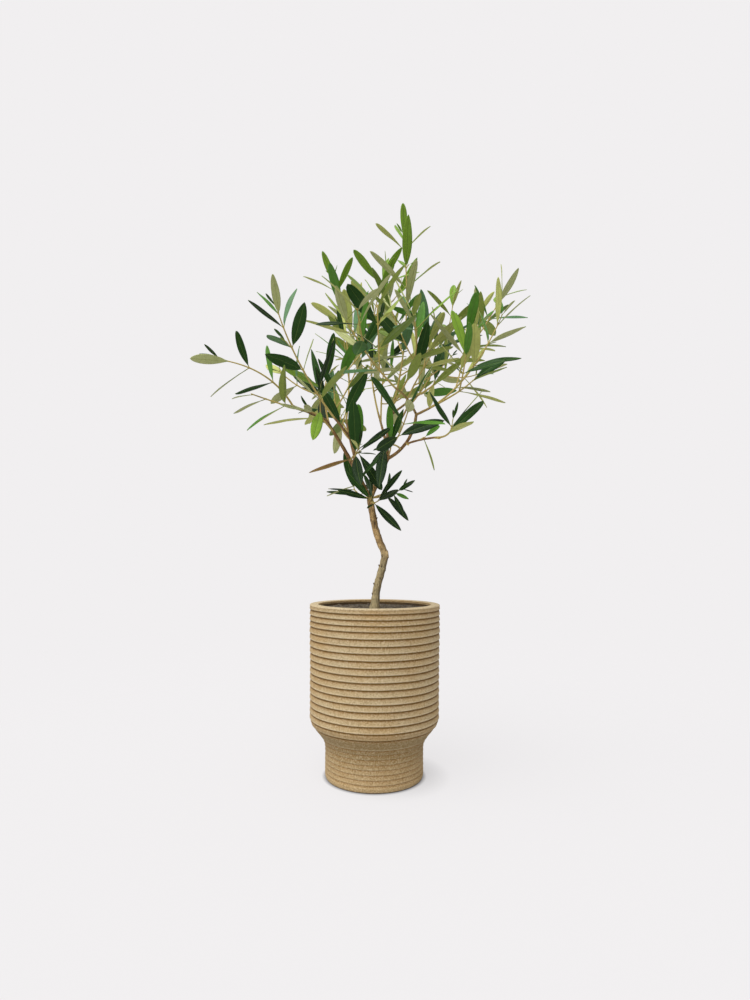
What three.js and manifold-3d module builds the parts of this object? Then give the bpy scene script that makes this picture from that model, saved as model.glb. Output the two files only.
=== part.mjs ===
// A young olive tree in a ribbed stoneware pot, about 0.86 m tall.
// Sizes are millimetres and angles are radians. +Z is up, -Y is the front, and the origin is the centre
// of the pot's flat underside, on the surface that the pot stands on.
//
// Every mass of foliage grows from its stem by one seeded rule: leaves stand in opposite pairs, each pair
// a quarter turn round from the last, and some leaves make way for a side twig that carries its own pairs.
// A leaf or twig that would come too near anything already grown is turned a little, and then left out.
import * as THREE from "three";
import { mergeVertices } from "three/addons/utils/BufferGeometryUtils.js";
import Module from "manifold-3d";

const wasm = await Module();
wasm.setup();

const GAP = 0.3; // left between neighbouring pieces
const FINEST = 0.03; // details smaller than this are merged into their surroundings

// The pot: an upright body that narrows through a soft shoulder to a straight foot.
const POT = {
  height: 253,
  bodyRadius: 95,
  footRadius: 72.4,
  wall: 13.5,
  floor: 14,
  shoulderLow: 44.5,
  shoulderHigh: 89,
  rimRounding: 2.5,
  footChamfer: 2.5,
  facets: 32,
};
// Turned ribs: each ends below in a proud lip with a narrow groove cut under it.
const RIBS = { first: 245.4, closePitch: 7.9, closeCount: 3, pitch: 9.63, count: 15, depth: 1.5, cut: 1.3 };
const FOOT_RIBS = { first: 59.3, pitch: 6.99, count: 7, depth: 0.6, cut: 1.2 };
const SOIL_LEVEL = 246;

// The trunk rises from the soil, leans right and then back left to its fork.
const TRUNK_BENDS = [
  [0, 0, SOIL_LEVEL + GAP],
  [3, 0, 276],
  [8, -2, 295],
  [13, -3, 315],
  [14, -3, 327],
  [7, -1, 344],
  [1, 0, 362],
  [-3, 1, 381],
  [-7, 2, 404],
  [-8, 2, 413],
];
const TRUNK = { footRadius: 5.7, tipRadius: 4.7, flare: 2.6, flareHeight: 14, sides: 9, rings: 21 };
const KNOT = { bend: 4, proud: 1.3 }; // an old pruning knot on the right of the fifth bend

// Each bough leaves the limb named "on", a share "at" of the way along it, passes the point "via" half way
// and ends at "tip". "foot" and "end" are its radii.
const BOUGHS = {
  right: { on: "trunk", at: 1, via: [7, 6, 444], tip: [19, 12, 472], foot: 3.9, end: 3.4 },
  left: { on: "trunk", at: 1, via: [-40, -20, 468], tip: [-71, -40, 516], foot: 3.3, end: 2.1 },
  leader: { on: "right", at: 1, via: [20, 19, 520], tip: [30, 26, 566], foot: 3.1, end: 2 },
  right_out: { on: "right", at: 1, via: [47, -4, 493], tip: [59, -20, 530], foot: 2.6, end: 2.1 },
  left_front: { on: "left", at: 0.4, via: [-32, -42, 480], tip: [-57, -65, 512], foot: 2.1, end: 1.6 },
  far_left: { on: "left", at: 1, via: [-94, -51, 523], tip: [-115, -62, 529], foot: 2, end: 1.6 },
  front_up: { on: "right_out", at: 1, via: [44, -35, 547], tip: [26, -51, 558], foot: 1.9, end: 1.5 },
  far_right: { on: "right_out", at: 1, via: [72, -26, 533], tip: [86, -30, 540], foot: 1.9, end: 1.6 },
  right_back: { on: "leader", at: 0.68, via: [46, 35, 558], tip: [67, 49, 576], foot: 1.9, end: 1.5 },
  right_low: { on: "right_out", at: 0.42, via: [64, -32, 489], tip: [86, -54, 488], foot: 1.7, end: 1.4 },
  back_left: { on: "left", at: 0.22, via: [-36, 22, 490], tip: [-46, 45, 536], foot: 2.2, end: 1.6 },
  back: { on: "leader", at: 0.14, via: [12, 38, 515], tip: [4, 68, 552], foot: 2.3, end: 1.6 },
  back_right: { on: "leader", at: 0.4, via: [36, 46, 532], tip: [50, 80, 562], foot: 2, end: 1.5 },
};
const BOUGH_SIDES = 6;
const BOUGH_RINGS = 6;
const STEM_RADIUS = 1.3; // the most that a mass's stem has at its foot

// Each mass of foliage grows on a stem laid out in the same way. "size" is that of its leaves as a share of
// the usual, "twigs" says how readily it branches, and "seed" starts its rule.
const FOLIAGE = {
  far_left: { on: "far_left", at: 1, via: [-145, -86, 560], tip: [-191, -108, 574], twigs: 0.2, seed: 8231 },
  left_low: { on: "far_left", at: 0.5, via: [-128, -84, 526], tip: [-162, -95, 535], twigs: 0.3, seed: 6381 },
  left_top: { on: "left_front", at: 1, via: [-98, -90, 572], tip: [-126, -110, 636], twigs: 0.25, seed: 1287 },
  left_inner: { on: "left", at: 0.9, via: [-73, -25, 547], tip: [-72, -10, 581], twigs: 0.4, seed: 1564 },
  back_left: { on: "back_left", at: 1, via: [-46, 92, 656], tip: [-69, 100, 778], twigs: 0.3, seed: 1235 },
  front: { on: "front_up", at: 1, via: [-8, -88, 586], tip: [-37, -115, 623], twigs: 0.3, seed: 9941 },
  top_left: { on: "back", at: 1, via: [-8, 116, 680], tip: [14, 110, 795], twigs: 0.25, seed: 5094 },
  top: { on: "leader", at: 1, via: [46, 33, 682], tip: [42, 35, 814], twigs: 0.2, seed: 676 },
  right_top: { on: "right_back", at: 1, via: [139, 80, 645], tip: [209, 95, 756], twigs: 0.25, seed: 868 },
  far_right: { on: "far_right", at: 1, via: [130, -46, 580], tip: [168, -61, 643], twigs: 0.3, seed: 367 },
  right_out: { on: "far_right", at: 0.7, via: [111, -54, 549], tip: [132, -70, 562], twigs: 0.3, seed: 10157 },
  right_low: { on: "right_low", at: 1, via: [98, -61, 490], tip: [104, -65, 500], seed: 289 },
  back_right: { on: "back_right", at: 1, via: [105, 130, 655], tip: [132, 140, 756], twigs: 0.25, seed: 4526 },
  centre: { on: "leader", at: 0.85, via: [54, 2, 605], tip: [58, -25, 648], twigs: 0.35, seed: 941 },
  fork_right: { on: "trunk", at: 0.95, via: [12, -10, 411], tip: [33, -18, 418], size: 0.62, seed: 191 },
  fork_front: { on: "trunk", at: 0.9, via: [-3, -10, 401], tip: [4, -18, 403], size: 0.85, seed: 10693 },
  fork_left: { on: "trunk", at: 0.95, via: [-20, 18, 414], tip: [-32, 30, 425], seed: 10302 },
  front_low: { on: "left_front", at: 0.22, via: [-28, -45, 465], tip: [-24, -64, 469], seed: 1220 },
  front_centre: { on: "right_out", at: 0.3, via: [26, -35, 481], tip: [12, -60, 474], twigs: 0.3, seed: 1350 },
  mid_left: { on: "left", at: 0.8, via: [-74, -50, 513], tip: [-86, -68, 519], twigs: 0.2, seed: 6309 },
  inner_left: { on: "left_front", at: 0.6, via: [-52, -30, 515], tip: [-60, -22, 560], twigs: 0.3, seed: 3195 },
  inner_right: { on: "right_back", at: 0.5, via: [62, 20, 590], tip: [84, 10, 626], twigs: 0.3, seed: 4166 },
  back: { on: "back", at: 0.75, via: [13, 138, 636], tip: [24, 185, 712], twigs: 0.3, seed: 479 },
  back_low: { on: "back_left", at: 0.7, via: [-74, 95, 573], tip: [-98, 150, 604], twigs: 0.3, seed: 7403 },
};

// The growing rule.
const RULE = {
  pairSpacing: 31, // along a stem or twig, from one pair of leaves to the next
  crowding: 1.25, // over 1, the pairs draw closer together towards the tip
  leafLength: 67,
  leafLengthRange: [0.76, 1.2],
  leafSlimness: [0.16, 0.27], // width as a share of length
  leafThickness: 0.014, // as a share of length
  stalkWidth: 1.8,
  stalkThickness: 1.1,
  stalkShare: 0.07,
  fullWidthAt: 0.36, // a share of the way along a leaf
  narrowsAt: 0.72,
  narrowed: 0.94, // the width there, as a share of the full width
  rootDepth: 0.5, // beyond the middle of its twig
  endLeafShare: 0.85,
  endRoot: 0.98, // where on a twig its last pair is rooted
  spread: [0.72, 1.05], // between a leaf and its twig
  endSpread: [0.32, 0.75],
  lift: 0.42, // how far a leaf's face turns from its twig's tip towards the sky
  roll: 0.55,
  arch: 0.07, // how far a leaf's tip bends back, as a share of its length
  turnRange: 0.5, // between a leaf's bearing and its place in the pattern, up to half of this either way
  twigLength: [44, 78],
  twigSpread: 0.75,
  twigRise: 0.14,
  twigRadius: 0.95,
  twigEndRadius: 0.7,
  turns: [0, 0.5, -0.5], // tried one after another about the twig
  clearance: 0.6,
};
// The room that a leaf needs: lines along its middle and beside both of its edges, as shares of its length
// and width.
const LEAF_ROOM = { middle: [0.1, 0.5, 1], edge: [0.22, 0.78], sideways: 0.3, radius: 0.18 };
const REFERENCE = new THREE.Vector3(0.37, 0.89, -0.26).normalize(); // no twig runs along it
const UP = new THREE.Vector3(0, 0, 1);

const LOOKS = {
  stoneware: { color: 0xbfa173, roughness: 0.85 },
  soil: { color: 0x4b4036, roughness: 0.95 },
  bark: { color: 0x8d7650, roughness: 0.85 },
  leaves: { color: 0x5f7d3b, roughness: 0.5 },
};

const vector = ([x, y, z]) => new THREE.Vector3(x, y, z);
const mix = (from, to, share) => from + (to - from) * share;
const clamp = (value) => Math.min(1, Math.max(0, value));

function solidOf(geometry) {
  geometry.deleteAttribute("normal");
  geometry.deleteAttribute("uv");
  const merged = mergeVertices(geometry, 1e-4);
  return new wasm.Manifold(
    new wasm.Mesh({
      numProp: 3,
      vertProperties: merged.attributes.position.array,
      triVerts: new Uint32Array(merged.index.array),
    }),
  );
}

// The geometry of a solid's largest body, which leaves out any loose scraps of its cuts.
function geometryOf(solid) {
  const bodies = solid.simplify(FINEST).decompose();
  const mesh = bodies.sort((a, b) => b.volume() - a.volume())[0].getMesh();
  return new THREE.BufferGeometry()
    .setAttribute("position", new THREE.BufferAttribute(mesh.vertProperties, 3))
    .setIndex(new THREE.BufferAttribute(mesh.triVerts, 1));
}

// Moves every vertex of a geometry to where "place" puts it.
function reshape(geometry, place) {
  const positions = geometry.attributes.position;
  const vertex = new THREE.Vector3();
  for (let i = 0; i < positions.count; i++) {
    vertex.fromBufferAttribute(positions, i);
    positions.setXYZ(i, ...place(vertex).toArray());
  }
  return geometry;
}

// A closed tube along a curve, "grow" thicker and longer than its radius function says.
function tubeAlong(curve, radiusAt, sides, rings, grow = 0) {
  const frames = curve.computeFrenetFrames(rings);
  const tube = new THREE.CylinderGeometry(1, 1, 1, sides, rings);
  return solidOf(
    reshape(tube, (vertex) => {
      const share = vertex.y + 0.5;
      const ring = Math.round(share * rings);
      const radius = radiusAt(share) + grow;
      const ends = ring === 0 ? -grow : ring === rings ? grow : 0;
      return curve
        .getPointAt(share)
        .addScaledVector(frames.tangents[ring], ends)
        .addScaledVector(frames.binormals[ring], vertex.x * radius)
        .addScaledVector(frames.normals[ring], vertex.z * radius);
    }),
  );
}

// Where a bough or stem leaves a limb: at the limb's end it is sunk in by the limb's radius.
function footOn({ curve, radiusAt }, at) {
  return at < 1 ? curve.getPoint(at) : curve.getPoint(1).addScaledVector(curve.getTangent(1), -radiusAt(1));
}

// The quadratic curve from "foot" to "tip" that passes the point "via" half way.
function bend(foot, via, tip) {
  const control = via.clone().multiplyScalar(2).addScaledVector(foot, -0.5).addScaledVector(tip, -0.5);
  return new THREE.QuadraticBezierCurve3(foot, control, tip);
}

// The pot's outer radius without its ribs.
function potRadius(height) {
  const share = clamp((height - POT.shoulderLow) / (POT.shoulderHigh - POT.shoulderLow));
  return mix(POT.footRadius, POT.bodyRadius, share * share * (3 - 2 * share));
}

// The lip and the groove of each rib, from the lowest rib up, as [radius, height].
function ribPoints() {
  const points = [];
  const rib = (height, shape) => {
    points.push([potRadius(height) - shape.depth, height - shape.cut / 2]);
    points.push([potRadius(height), height + shape.cut / 2]);
  };
  for (let i = FOOT_RIBS.count; i >= 0; i--) rib(FOOT_RIBS.first - i * FOOT_RIBS.pitch, FOOT_RIBS);
  const closeEnd = RIBS.first - RIBS.closeCount * RIBS.closePitch;
  for (let i = RIBS.count; i > 0; i--) rib(closeEnd - i * RIBS.pitch, RIBS);
  for (let i = RIBS.closeCount; i >= 0; i--) rib(RIBS.first - i * RIBS.closePitch, RIBS);
  return points;
}

// The inside wall from the floor up to a height, as [radius, height].
function insidePoints(top, inset) {
  const heights = [POT.floor + inset, POT.shoulderLow, 56, 67, 78, POT.shoulderHigh, top];
  return heights.map((height) => [potRadius(height) - POT.wall - inset, height]);
}

// An outline of [radius, height] points, from the axis back to the axis, turned about +Z.
function turned(outline, facets) {
  const lathe = new THREE.LatheGeometry(
    outline.map(([radius, height]) => new THREE.Vector2(radius, height)),
    facets,
  );
  return lathe.rotateX(Math.PI / 2);
}

function potGeometry() {
  const { height, bodyRadius, footRadius, wall, rimRounding, footChamfer, floor } = POT;
  const inner = bodyRadius - wall;
  const outline = [
    [0, 0],
    [footRadius - footChamfer, 0],
    [footRadius, footChamfer],
    ...ribPoints(),
    [bodyRadius, height - rimRounding],
    [bodyRadius - rimRounding, height],
    [inner + rimRounding, height],
    [inner, height - rimRounding],
    ...insidePoints(POT.shoulderHigh, 0).reverse(),
    [0, floor],
  ];
  return geometryOf(solidOf(turned(outline, POT.facets)));
}

function soilGeometry() {
  const outline = [[0, POT.floor + GAP], ...insidePoints(SOIL_LEVEL, GAP), [0, SOIL_LEVEL]];
  return geometryOf(solidOf(turned(outline, POT.facets)));
}

// The trunk's radius a share of the way up, with its root flare and without its knot.
function trunkRadius(share) {
  const height = mix(0, TRUNK_BENDS.at(-1)[2] - SOIL_LEVEL, share);
  const flare = TRUNK.flare * Math.max(0, 1 - height / TRUNK.flareHeight) ** 2;
  return mix(TRUNK.footRadius, TRUNK.tipRadius, share) + flare;
}

function trunkSolid(curve, grow) {
  const shaft = tubeAlong(curve, trunkRadius, TRUNK.sides, TRUNK.rings, grow);
  const [x, y, z] = TRUNK_BENDS[KNOT.bend];
  const knot = new THREE.SphereGeometry(TRUNK.footRadius + KNOT.proud + grow, 10, 8);
  knot.scale(1, 1, 0.8).translate(x + KNOT.proud, y, z);
  const soilCut = new THREE.BoxGeometry(60, 60, 20).translate(0, 0, SOIL_LEVEL + GAP - 10 - grow);
  return shaft.add(solidOf(knot)).subtract(solidOf(soilCut));
}

// The trunk and boughs by name: each has its curve, its radius function and its solid at any growth.
function growLimbs() {
  const trunkCurve = new THREE.CatmullRomCurve3(TRUNK_BENDS.map(vector), false, "catmullrom");
  const limbs = {
    trunk: {
      curve: trunkCurve,
      radiusAt: trunkRadius,
      solid: (grow) => trunkSolid(trunkCurve, grow),
    },
  };
  for (const [name, { on, at, via, tip, foot, end }] of Object.entries(BOUGHS)) {
    const curve = bend(footOn(limbs[on], at), vector(via), vector(tip));
    const radiusAt = (share) => mix(foot, end, share);
    limbs[name] = {
      on,
      curve,
      radiusAt,
      solid: (grow) => tubeAlong(curve, radiusAt, BOUGH_SIDES, BOUGH_RINGS, grow),
    };
  }
  return limbs;
}

// A limb's solid, cut clear of its parent and of the limbs that left the parent before it.
function limbGeometry(limbs, name) {
  const limb = limbs[name];
  let solid = limb.solid(0);
  for (const [other, neighbour] of Object.entries(limbs)) {
    if (other === name) break;
    if (other === limb.on || neighbour.on === limb.on) solid = solid.subtract(neighbour.solid(GAP));
  }
  return geometryOf(solid);
}

// Numbers from 0 to 1 that are the same at every run.
function seededRandom(seed) {
  let state = seed * 7919;
  return () => {
    state = (Math.imul(state, 1664525) + 1013904223) >>> 0;
    return state / 4294967296;
  };
}

// The shortest distance between the middle lines a-b and c-d.
function lineDistance(a, b, c, d) {
  const u = b.clone().sub(a);
  const v = d.clone().sub(c);
  const w = a.clone().sub(c);
  const [uu, uv, vv, uw, vw] = [u.dot(u), u.dot(v), v.dot(v), u.dot(w), v.dot(w)];
  const cross = uu * vv - uv * uv;
  let s = cross > 1e-9 ? clamp((uv * vw - vv * uw) / cross) : 0;
  const t = clamp((uv * s + vw) / vv);
  s = clamp((uv * t - uw) / uu);
  return w.addScaledVector(u, s).addScaledVector(v, -t).length();
}

// The space already taken, as middle lines with a radius and an owner.
class Space {
  lines = [];

  take(lines, owner) {
    for (const line of lines) this.lines.push({ ...line, owner });
  }

  isFree(lines, ignored) {
    const others = this.lines.filter((other) => !ignored.includes(other.owner));
    return lines.every((line) => others.every((other) => isClear(line, other)));
  }
}

function isClear(line, other) {
  const room = line.radius + other.radius + RULE.clearance;
  const reach = line.from.distanceTo(line.to) + other.from.distanceTo(other.to) + room;
  if (line.from.distanceTo(other.from) > reach) return true;
  return lineDistance(line.from, line.to, other.from, other.to) >= room;
}

function linesAlong(curve, radiusAt, count) {
  return Array.from({ length: count }, (_, i) => ({
    from: curve.getPoint(i / count),
    to: curve.getPoint((i + 1) / count),
    radius: radiusAt((i + 0.5) / count),
  }));
}

// Two directions square to "along" and to each other.
function crossways(along) {
  const side = along.clone().cross(REFERENCE).normalize();
  return [side, side.clone().cross(along)];
}

// The direction that leans from "along" by "spread" towards the bearing "turn" about it.
function leaning(along, turn, spread) {
  const [side, front] = crossways(along);
  const out = side.multiplyScalar(Math.cos(turn)).addScaledVector(front, Math.sin(turn));
  return along.clone().multiplyScalar(Math.cos(spread)).addScaledVector(out, Math.sin(spread)).normalize();
}

function makeLeaf(root, stemAlong, turn, spread, length, slimness, roll) {
  const along = leaning(stemAlong, turn, spread);
  const face = stemAlong
    .clone()
    .multiplyScalar(1 - RULE.lift)
    .addScaledVector(UP, RULE.lift);
  face.addScaledVector(along, -face.dot(along)).normalize();
  face.applyAxisAngle(along, roll);
  return { root, along, face, length, width: length * slimness };
}

// A point on a leaf's arched middle line.
function leafPoint({ root, along, face, length }, share) {
  return root
    .clone()
    .addScaledVector(along, length * share)
    .addScaledVector(face, -RULE.arch * length * share * share);
}

function leafLines(leaf) {
  const { middle, edge, sideways, radius } = LEAF_ROOM;
  const across = leaf.face
    .clone()
    .cross(leaf.along)
    .multiplyScalar(leaf.width * sideways);
  const line = (start, end, side) => ({
    from: leafPoint(leaf, start).addScaledVector(across, side),
    to: leafPoint(leaf, end).addScaledVector(across, side),
    radius: leaf.width * radius,
  });
  return [line(middle[0], middle[1], 0), line(middle[1], middle[2], 0), line(...edge, 1), line(...edge, -1)];
}

// Grows one twig's pairs of leaves, and its side twigs if its habit has any, into its mass.
function growPairs(mass, twig, { size = 1, twigs = 0 }, random, space) {
  const pick = ([low, high]) => mix(low, high, random());
  const pairs = Math.max(2, Math.round(twig.curve.getLength() / RULE.pairSpacing));
  const start = random() * 2 * Math.PI;
  for (let i = 0; i < pairs; i++) {
    const last = i === pairs - 1;
    const share = last ? 1 : 1 - (1 - (i + 1) / pairs) ** RULE.crowding;
    const root = twig.curve.getPoint(last ? RULE.endRoot : share);
    const stemAlong = twig.curve.getTangent(share);
    const owner = `${twig.owner}/${i}`;
    for (const half of [0, Math.PI]) {
      const turn = start + (i * Math.PI) / 2 + half + (random() - 0.5) * RULE.turnRange;
      const spread = pick(last ? RULE.endSpread : RULE.spread);
      const length = RULE.leafLength * size * pick(RULE.leafLengthRange) * (last ? RULE.endLeafShare : 1);
      const slimness = pick(RULE.leafSlimness);
      const roll = (random() - 0.5) * 2 * RULE.roll;
      const branches = random() < twigs * 2 * (1 - share) && !last;
      const side = { root, stemAlong, turn, owner: `${owner}/${half ? "b" : "a"}` };
      if (branches && growSideTwig(mass, twig, side, random, space)) continue;
      for (const nudge of RULE.turns) {
        const leaf = makeLeaf(root, stemAlong, turn + nudge, spread, length, slimness, roll);
        if (space.isFree(leafLines(leaf), [twig.owner, owner])) {
          mass.leaves.push(leaf);
          space.take(leafLines(leaf), owner);
          break;
        }
      }
    }
  }
}

// Grows a side twig, and returns false if it has no room.
function growSideTwig(mass, twig, { root, stemAlong, turn, owner }, random, space) {
  const length = mix(...RULE.twigLength, random());
  const along = leaning(stemAlong, turn, RULE.twigSpread);
  const middle = root.clone().addScaledVector(along, length / 2);
  const tip = root
    .clone()
    .addScaledVector(along, length)
    .addScaledVector(UP, length * RULE.twigRise);
  const sideTwig = { curve: bend(root, middle, tip), foot: RULE.twigRadius, end: RULE.twigEndRadius, owner };
  const lines = linesAlong(sideTwig.curve, () => RULE.twigRadius, 4);
  if (!space.isFree(lines, [twig.owner])) return false;
  mass.twigs.push(sideTwig);
  space.take(lines, owner);
  growPairs(mass, sideTwig, {}, random, space);
  return true;
}

// Every mass of foliage by name, as the limb that bears it, its twigs and its leaves.
function growFoliage(limbs) {
  const space = new Space();
  for (const [name, { curve, radiusAt }] of Object.entries(limbs)) {
    space.take(linesAlong(curve, radiusAt, 12), `${name} limb`);
  }
  const masses = {};
  for (const [name, { on, at, via, tip }] of Object.entries(FOLIAGE)) {
    const limb = limbs[on];
    const stem = {
      curve: bend(footOn(limb, at), vector(via), vector(tip)),
      foot: Math.min(STEM_RADIUS, limb.radiusAt(at)),
      end: RULE.twigEndRadius,
      owner: name,
    };
    masses[name] = { limb, twigs: [stem], leaves: [] };
    space.take(linesAlong(stem.curve, () => stem.foot, 6), name);
  }
  for (const [name, habit] of Object.entries(FOLIAGE)) {
    const mass = masses[name];
    growPairs(mass, mass.twigs[0], habit, seededRandom(habit.seed), space);
  }
  return masses;
}

// A leaf as a thin blade with a keel below: from its root, sunk in the twig, over its stalk and its two
// widest places to its point.
function leafSolid(leaf) {
  const across = leaf.face.clone().cross(leaf.along);
  const thickness = leaf.length * RULE.leafThickness;
  const stations = [
    { share: -RULE.rootDepth / leaf.length },
    { share: RULE.stalkShare, width: RULE.stalkWidth, thickness: RULE.stalkThickness },
    { share: RULE.fullWidthAt, width: leaf.width, thickness },
    { share: RULE.narrowsAt, width: leaf.width * RULE.narrowed, thickness },
    { share: 1 },
  ];
  const blade = reshape(new THREE.SphereGeometry(1, 3, 4), (vertex) => {
    const bearing = Math.acos(-vertex.y);
    const { share, width = 0, thickness: depth = 0 } = stations[Math.round(bearing / (Math.PI / 4))];
    const ringRadius = Math.max(0.1, Math.sin(bearing)); // over 0 at both ends
    return leafPoint(leaf, share)
      .addScaledVector(across, (vertex.z / ringRadius / Math.sqrt(0.75)) * (width / 2))
      .addScaledVector(leaf.face, (vertex.x / ringRadius) * (depth / 1.5));
  });
  return solidOf(blade);
}

function twigSolid({ curve, foot, end }) {
  return tubeAlong(curve, (share) => mix(foot, end, share), 3, 4);
}

function massGeometry({ limb, twigs, leaves }) {
  const pieces = [...twigs.map(twigSolid), ...leaves.map(leafSolid)];
  const joined = pieces.reduce((solid, piece) => solid.add(piece));
  return geometryOf(joined.subtract(limb.solid(GAP)));
}

function mesh(name, geometry, look) {
  const made = new THREE.Mesh(geometry, new THREE.MeshStandardMaterial({ ...LOOKS[look], metalness: 0 }));
  made.name = name;
  return made;
}

const limbs = growLimbs();
const masses = growFoliage(limbs);

const planter = new THREE.Group();
planter.add(mesh("pot", potGeometry(), "stoneware"), mesh("soil", soilGeometry(), "soil"));

const tree = new THREE.Group();
for (const name of Object.keys(limbs)) {
  tree.add(mesh(name === "trunk" ? name : `bough_${name}`, limbGeometry(limbs, name), "bark"));
}
for (const [name, mass] of Object.entries(masses)) {
  tree.add(mesh(`foliage_${name}`, massGeometry(mass), "leaves"));
}

const pottedOlive = new THREE.Group();
pottedOlive.add(planter, tree);

export default pottedOlive;
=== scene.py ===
"""A young olive tree in a ribbed stoneware pot, with its leaves, bark and clay finished for close views."""

import math
import random

import bpy
import numpy as np
from bpy.props import FloatProperty, FloatVectorProperty, IntProperty, PointerProperty
from bpy.types import Operator, Panel, PropertyGroup
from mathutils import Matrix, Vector, noise


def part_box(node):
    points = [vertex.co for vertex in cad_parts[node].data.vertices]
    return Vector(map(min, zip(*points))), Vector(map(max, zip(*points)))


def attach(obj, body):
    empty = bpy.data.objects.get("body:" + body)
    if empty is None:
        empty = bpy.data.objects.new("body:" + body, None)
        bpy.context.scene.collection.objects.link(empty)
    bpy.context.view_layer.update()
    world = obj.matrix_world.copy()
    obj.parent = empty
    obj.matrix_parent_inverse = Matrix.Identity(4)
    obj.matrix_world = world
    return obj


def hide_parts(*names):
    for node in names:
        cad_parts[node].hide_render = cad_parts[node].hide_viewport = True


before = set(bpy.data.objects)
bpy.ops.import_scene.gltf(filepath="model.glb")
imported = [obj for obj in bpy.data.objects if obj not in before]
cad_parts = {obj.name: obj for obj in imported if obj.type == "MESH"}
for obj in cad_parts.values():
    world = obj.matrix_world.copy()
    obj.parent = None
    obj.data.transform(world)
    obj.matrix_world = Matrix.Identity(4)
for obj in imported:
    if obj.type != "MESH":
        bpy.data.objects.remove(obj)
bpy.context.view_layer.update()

bl_info = {
    "name": "Potted Olive",
    "version": (1, 0, 0),
    "blender": (4, 5, 0),
    "location": "View3D > Sidebar > Potted Olive",
    "description": "Builds a young olive tree in a ribbed stoneware pot",
    "category": "Add Mesh",
}

MM = 0.001
BODY = "root"
POT_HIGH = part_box("pot")[1]

# The plant's courses are in millimetres, with +Z up and the front towards -Y, as its solids are.
GAP = 0.3
SOIL_LEVEL = 246
TRUNK_BENDS = (
    (0, 0, SOIL_LEVEL + GAP),
    (3, 0, 276),
    (8, -2, 295),
    (13, -3, 315),
    (14, -3, 327),
    (7, -1, 344),
    (1, 0, 362),
    (-3, 1, 381),
    (-7, 2, 404),
    (-8, 2, 413),
)
TRUNK_FOOT = 5.7
TRUNK_TIP = 4.7
FLARE = 2.6
FLARE_HEIGHT = 14

# Each bough: the limb it leaves, the share of the way along it, a point half way, its tip and its two radii.
BOUGHS = {
    "right": ("trunk", 1, (7, 6, 444), (19, 12, 472), 3.9, 3.4),
    "left": ("trunk", 1, (-40, -20, 468), (-71, -40, 516), 3.3, 2.1),
    "leader": ("right", 1, (20, 19, 520), (30, 26, 566), 3.1, 2),
    "right_out": ("right", 1, (47, -4, 493), (59, -20, 530), 2.6, 2.1),
    "left_front": ("left", 0.4, (-32, -42, 480), (-57, -65, 512), 2.1, 1.6),
    "far_left": ("left", 1, (-94, -51, 523), (-115, -62, 529), 2, 1.6),
    "front_up": ("right_out", 1, (44, -35, 547), (26, -51, 558), 1.9, 1.5),
    "far_right": ("right_out", 1, (72, -26, 533), (86, -30, 540), 1.9, 1.6),
    "right_back": ("leader", 0.68, (46, 35, 558), (67, 49, 576), 1.9, 1.5),
    "right_low": ("right_out", 0.42, (64, -32, 489), (86, -54, 488), 1.7, 1.4),
    "back_left": ("left", 0.22, (-36, 22, 490), (-46, 45, 536), 2.2, 1.6),
    "back": ("leader", 0.14, (12, 38, 515), (4, 68, 552), 2.3, 1.6),
    "back_right": ("leader", 0.4, (36, 46, 532), (50, 80, 562), 2, 1.5),
}

# Each mass of foliage: its limb, the share along it, a point half way and the tip of its stem, the size of
# its leaves as a share of the usual, how readily it bears side twigs, and the seed of its rule.
FOLIAGE = {
    "far_left": ("far_left", 1, (-145, -86, 560), (-191, -108, 574), 1, 0.2, 8231),
    "left_low": ("far_left", 0.5, (-128, -84, 526), (-162, -95, 535), 1, 0.3, 6381),
    "left_top": ("left_front", 1, (-98, -90, 572), (-126, -110, 636), 1, 0.25, 1287),
    "left_inner": ("left", 0.9, (-73, -25, 547), (-72, -10, 581), 1, 0.4, 1564),
    "back_left": ("back_left", 1, (-46, 92, 656), (-69, 100, 778), 1, 0.3, 1235),
    "front": ("front_up", 1, (-8, -88, 586), (-37, -115, 623), 1, 0.3, 9941),
    "top_left": ("back", 1, (-8, 116, 680), (14, 110, 795), 1, 0.25, 5094),
    "top": ("leader", 1, (46, 33, 682), (42, 35, 814), 1, 0.2, 676),
    "right_top": ("right_back", 1, (139, 80, 645), (209, 95, 756), 1, 0.25, 868),
    "far_right": ("far_right", 1, (130, -46, 580), (168, -61, 643), 1, 0.3, 367),
    "right_out": ("far_right", 0.7, (111, -54, 549), (132, -70, 562), 1, 0.3, 10157),
    "right_low": ("right_low", 1, (98, -61, 490), (104, -65, 500), 1, 0, 289),
    "back_right": ("back_right", 1, (105, 130, 655), (132, 140, 756), 1, 0.25, 4526),
    "centre": ("leader", 0.85, (54, 2, 605), (58, -25, 648), 1, 0.35, 941),
    "fork_right": ("trunk", 0.95, (12, -10, 411), (33, -18, 418), 0.62, 0, 191),
    "fork_front": ("trunk", 0.9, (-3, -10, 401), (4, -18, 403), 0.85, 0, 10693),
    "fork_left": ("trunk", 0.95, (-20, 18, 414), (-32, 30, 425), 1, 0, 10302),
    "front_low": ("left_front", 0.22, (-28, -45, 465), (-24, -64, 469), 1, 0, 1220),
    "front_centre": ("right_out", 0.3, (26, -35, 481), (12, -60, 474), 1, 0.3, 1350),
    "mid_left": ("left", 0.8, (-74, -50, 513), (-86, -68, 519), 1, 0.2, 6309),
    "inner_left": ("left_front", 0.6, (-52, -30, 515), (-60, -22, 560), 1, 0.3, 3195),
    "inner_right": ("right_back", 0.5, (62, 20, 590), (84, 10, 626), 1, 0.3, 4166),
    "back": ("back", 0.75, (13, 138, 636), (24, 185, 712), 1, 0.3, 479),
    "back_low": ("back_left", 0.7, (-74, 95, 573), (-98, 150, 604), 1, 0.3, 7403),
}

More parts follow.
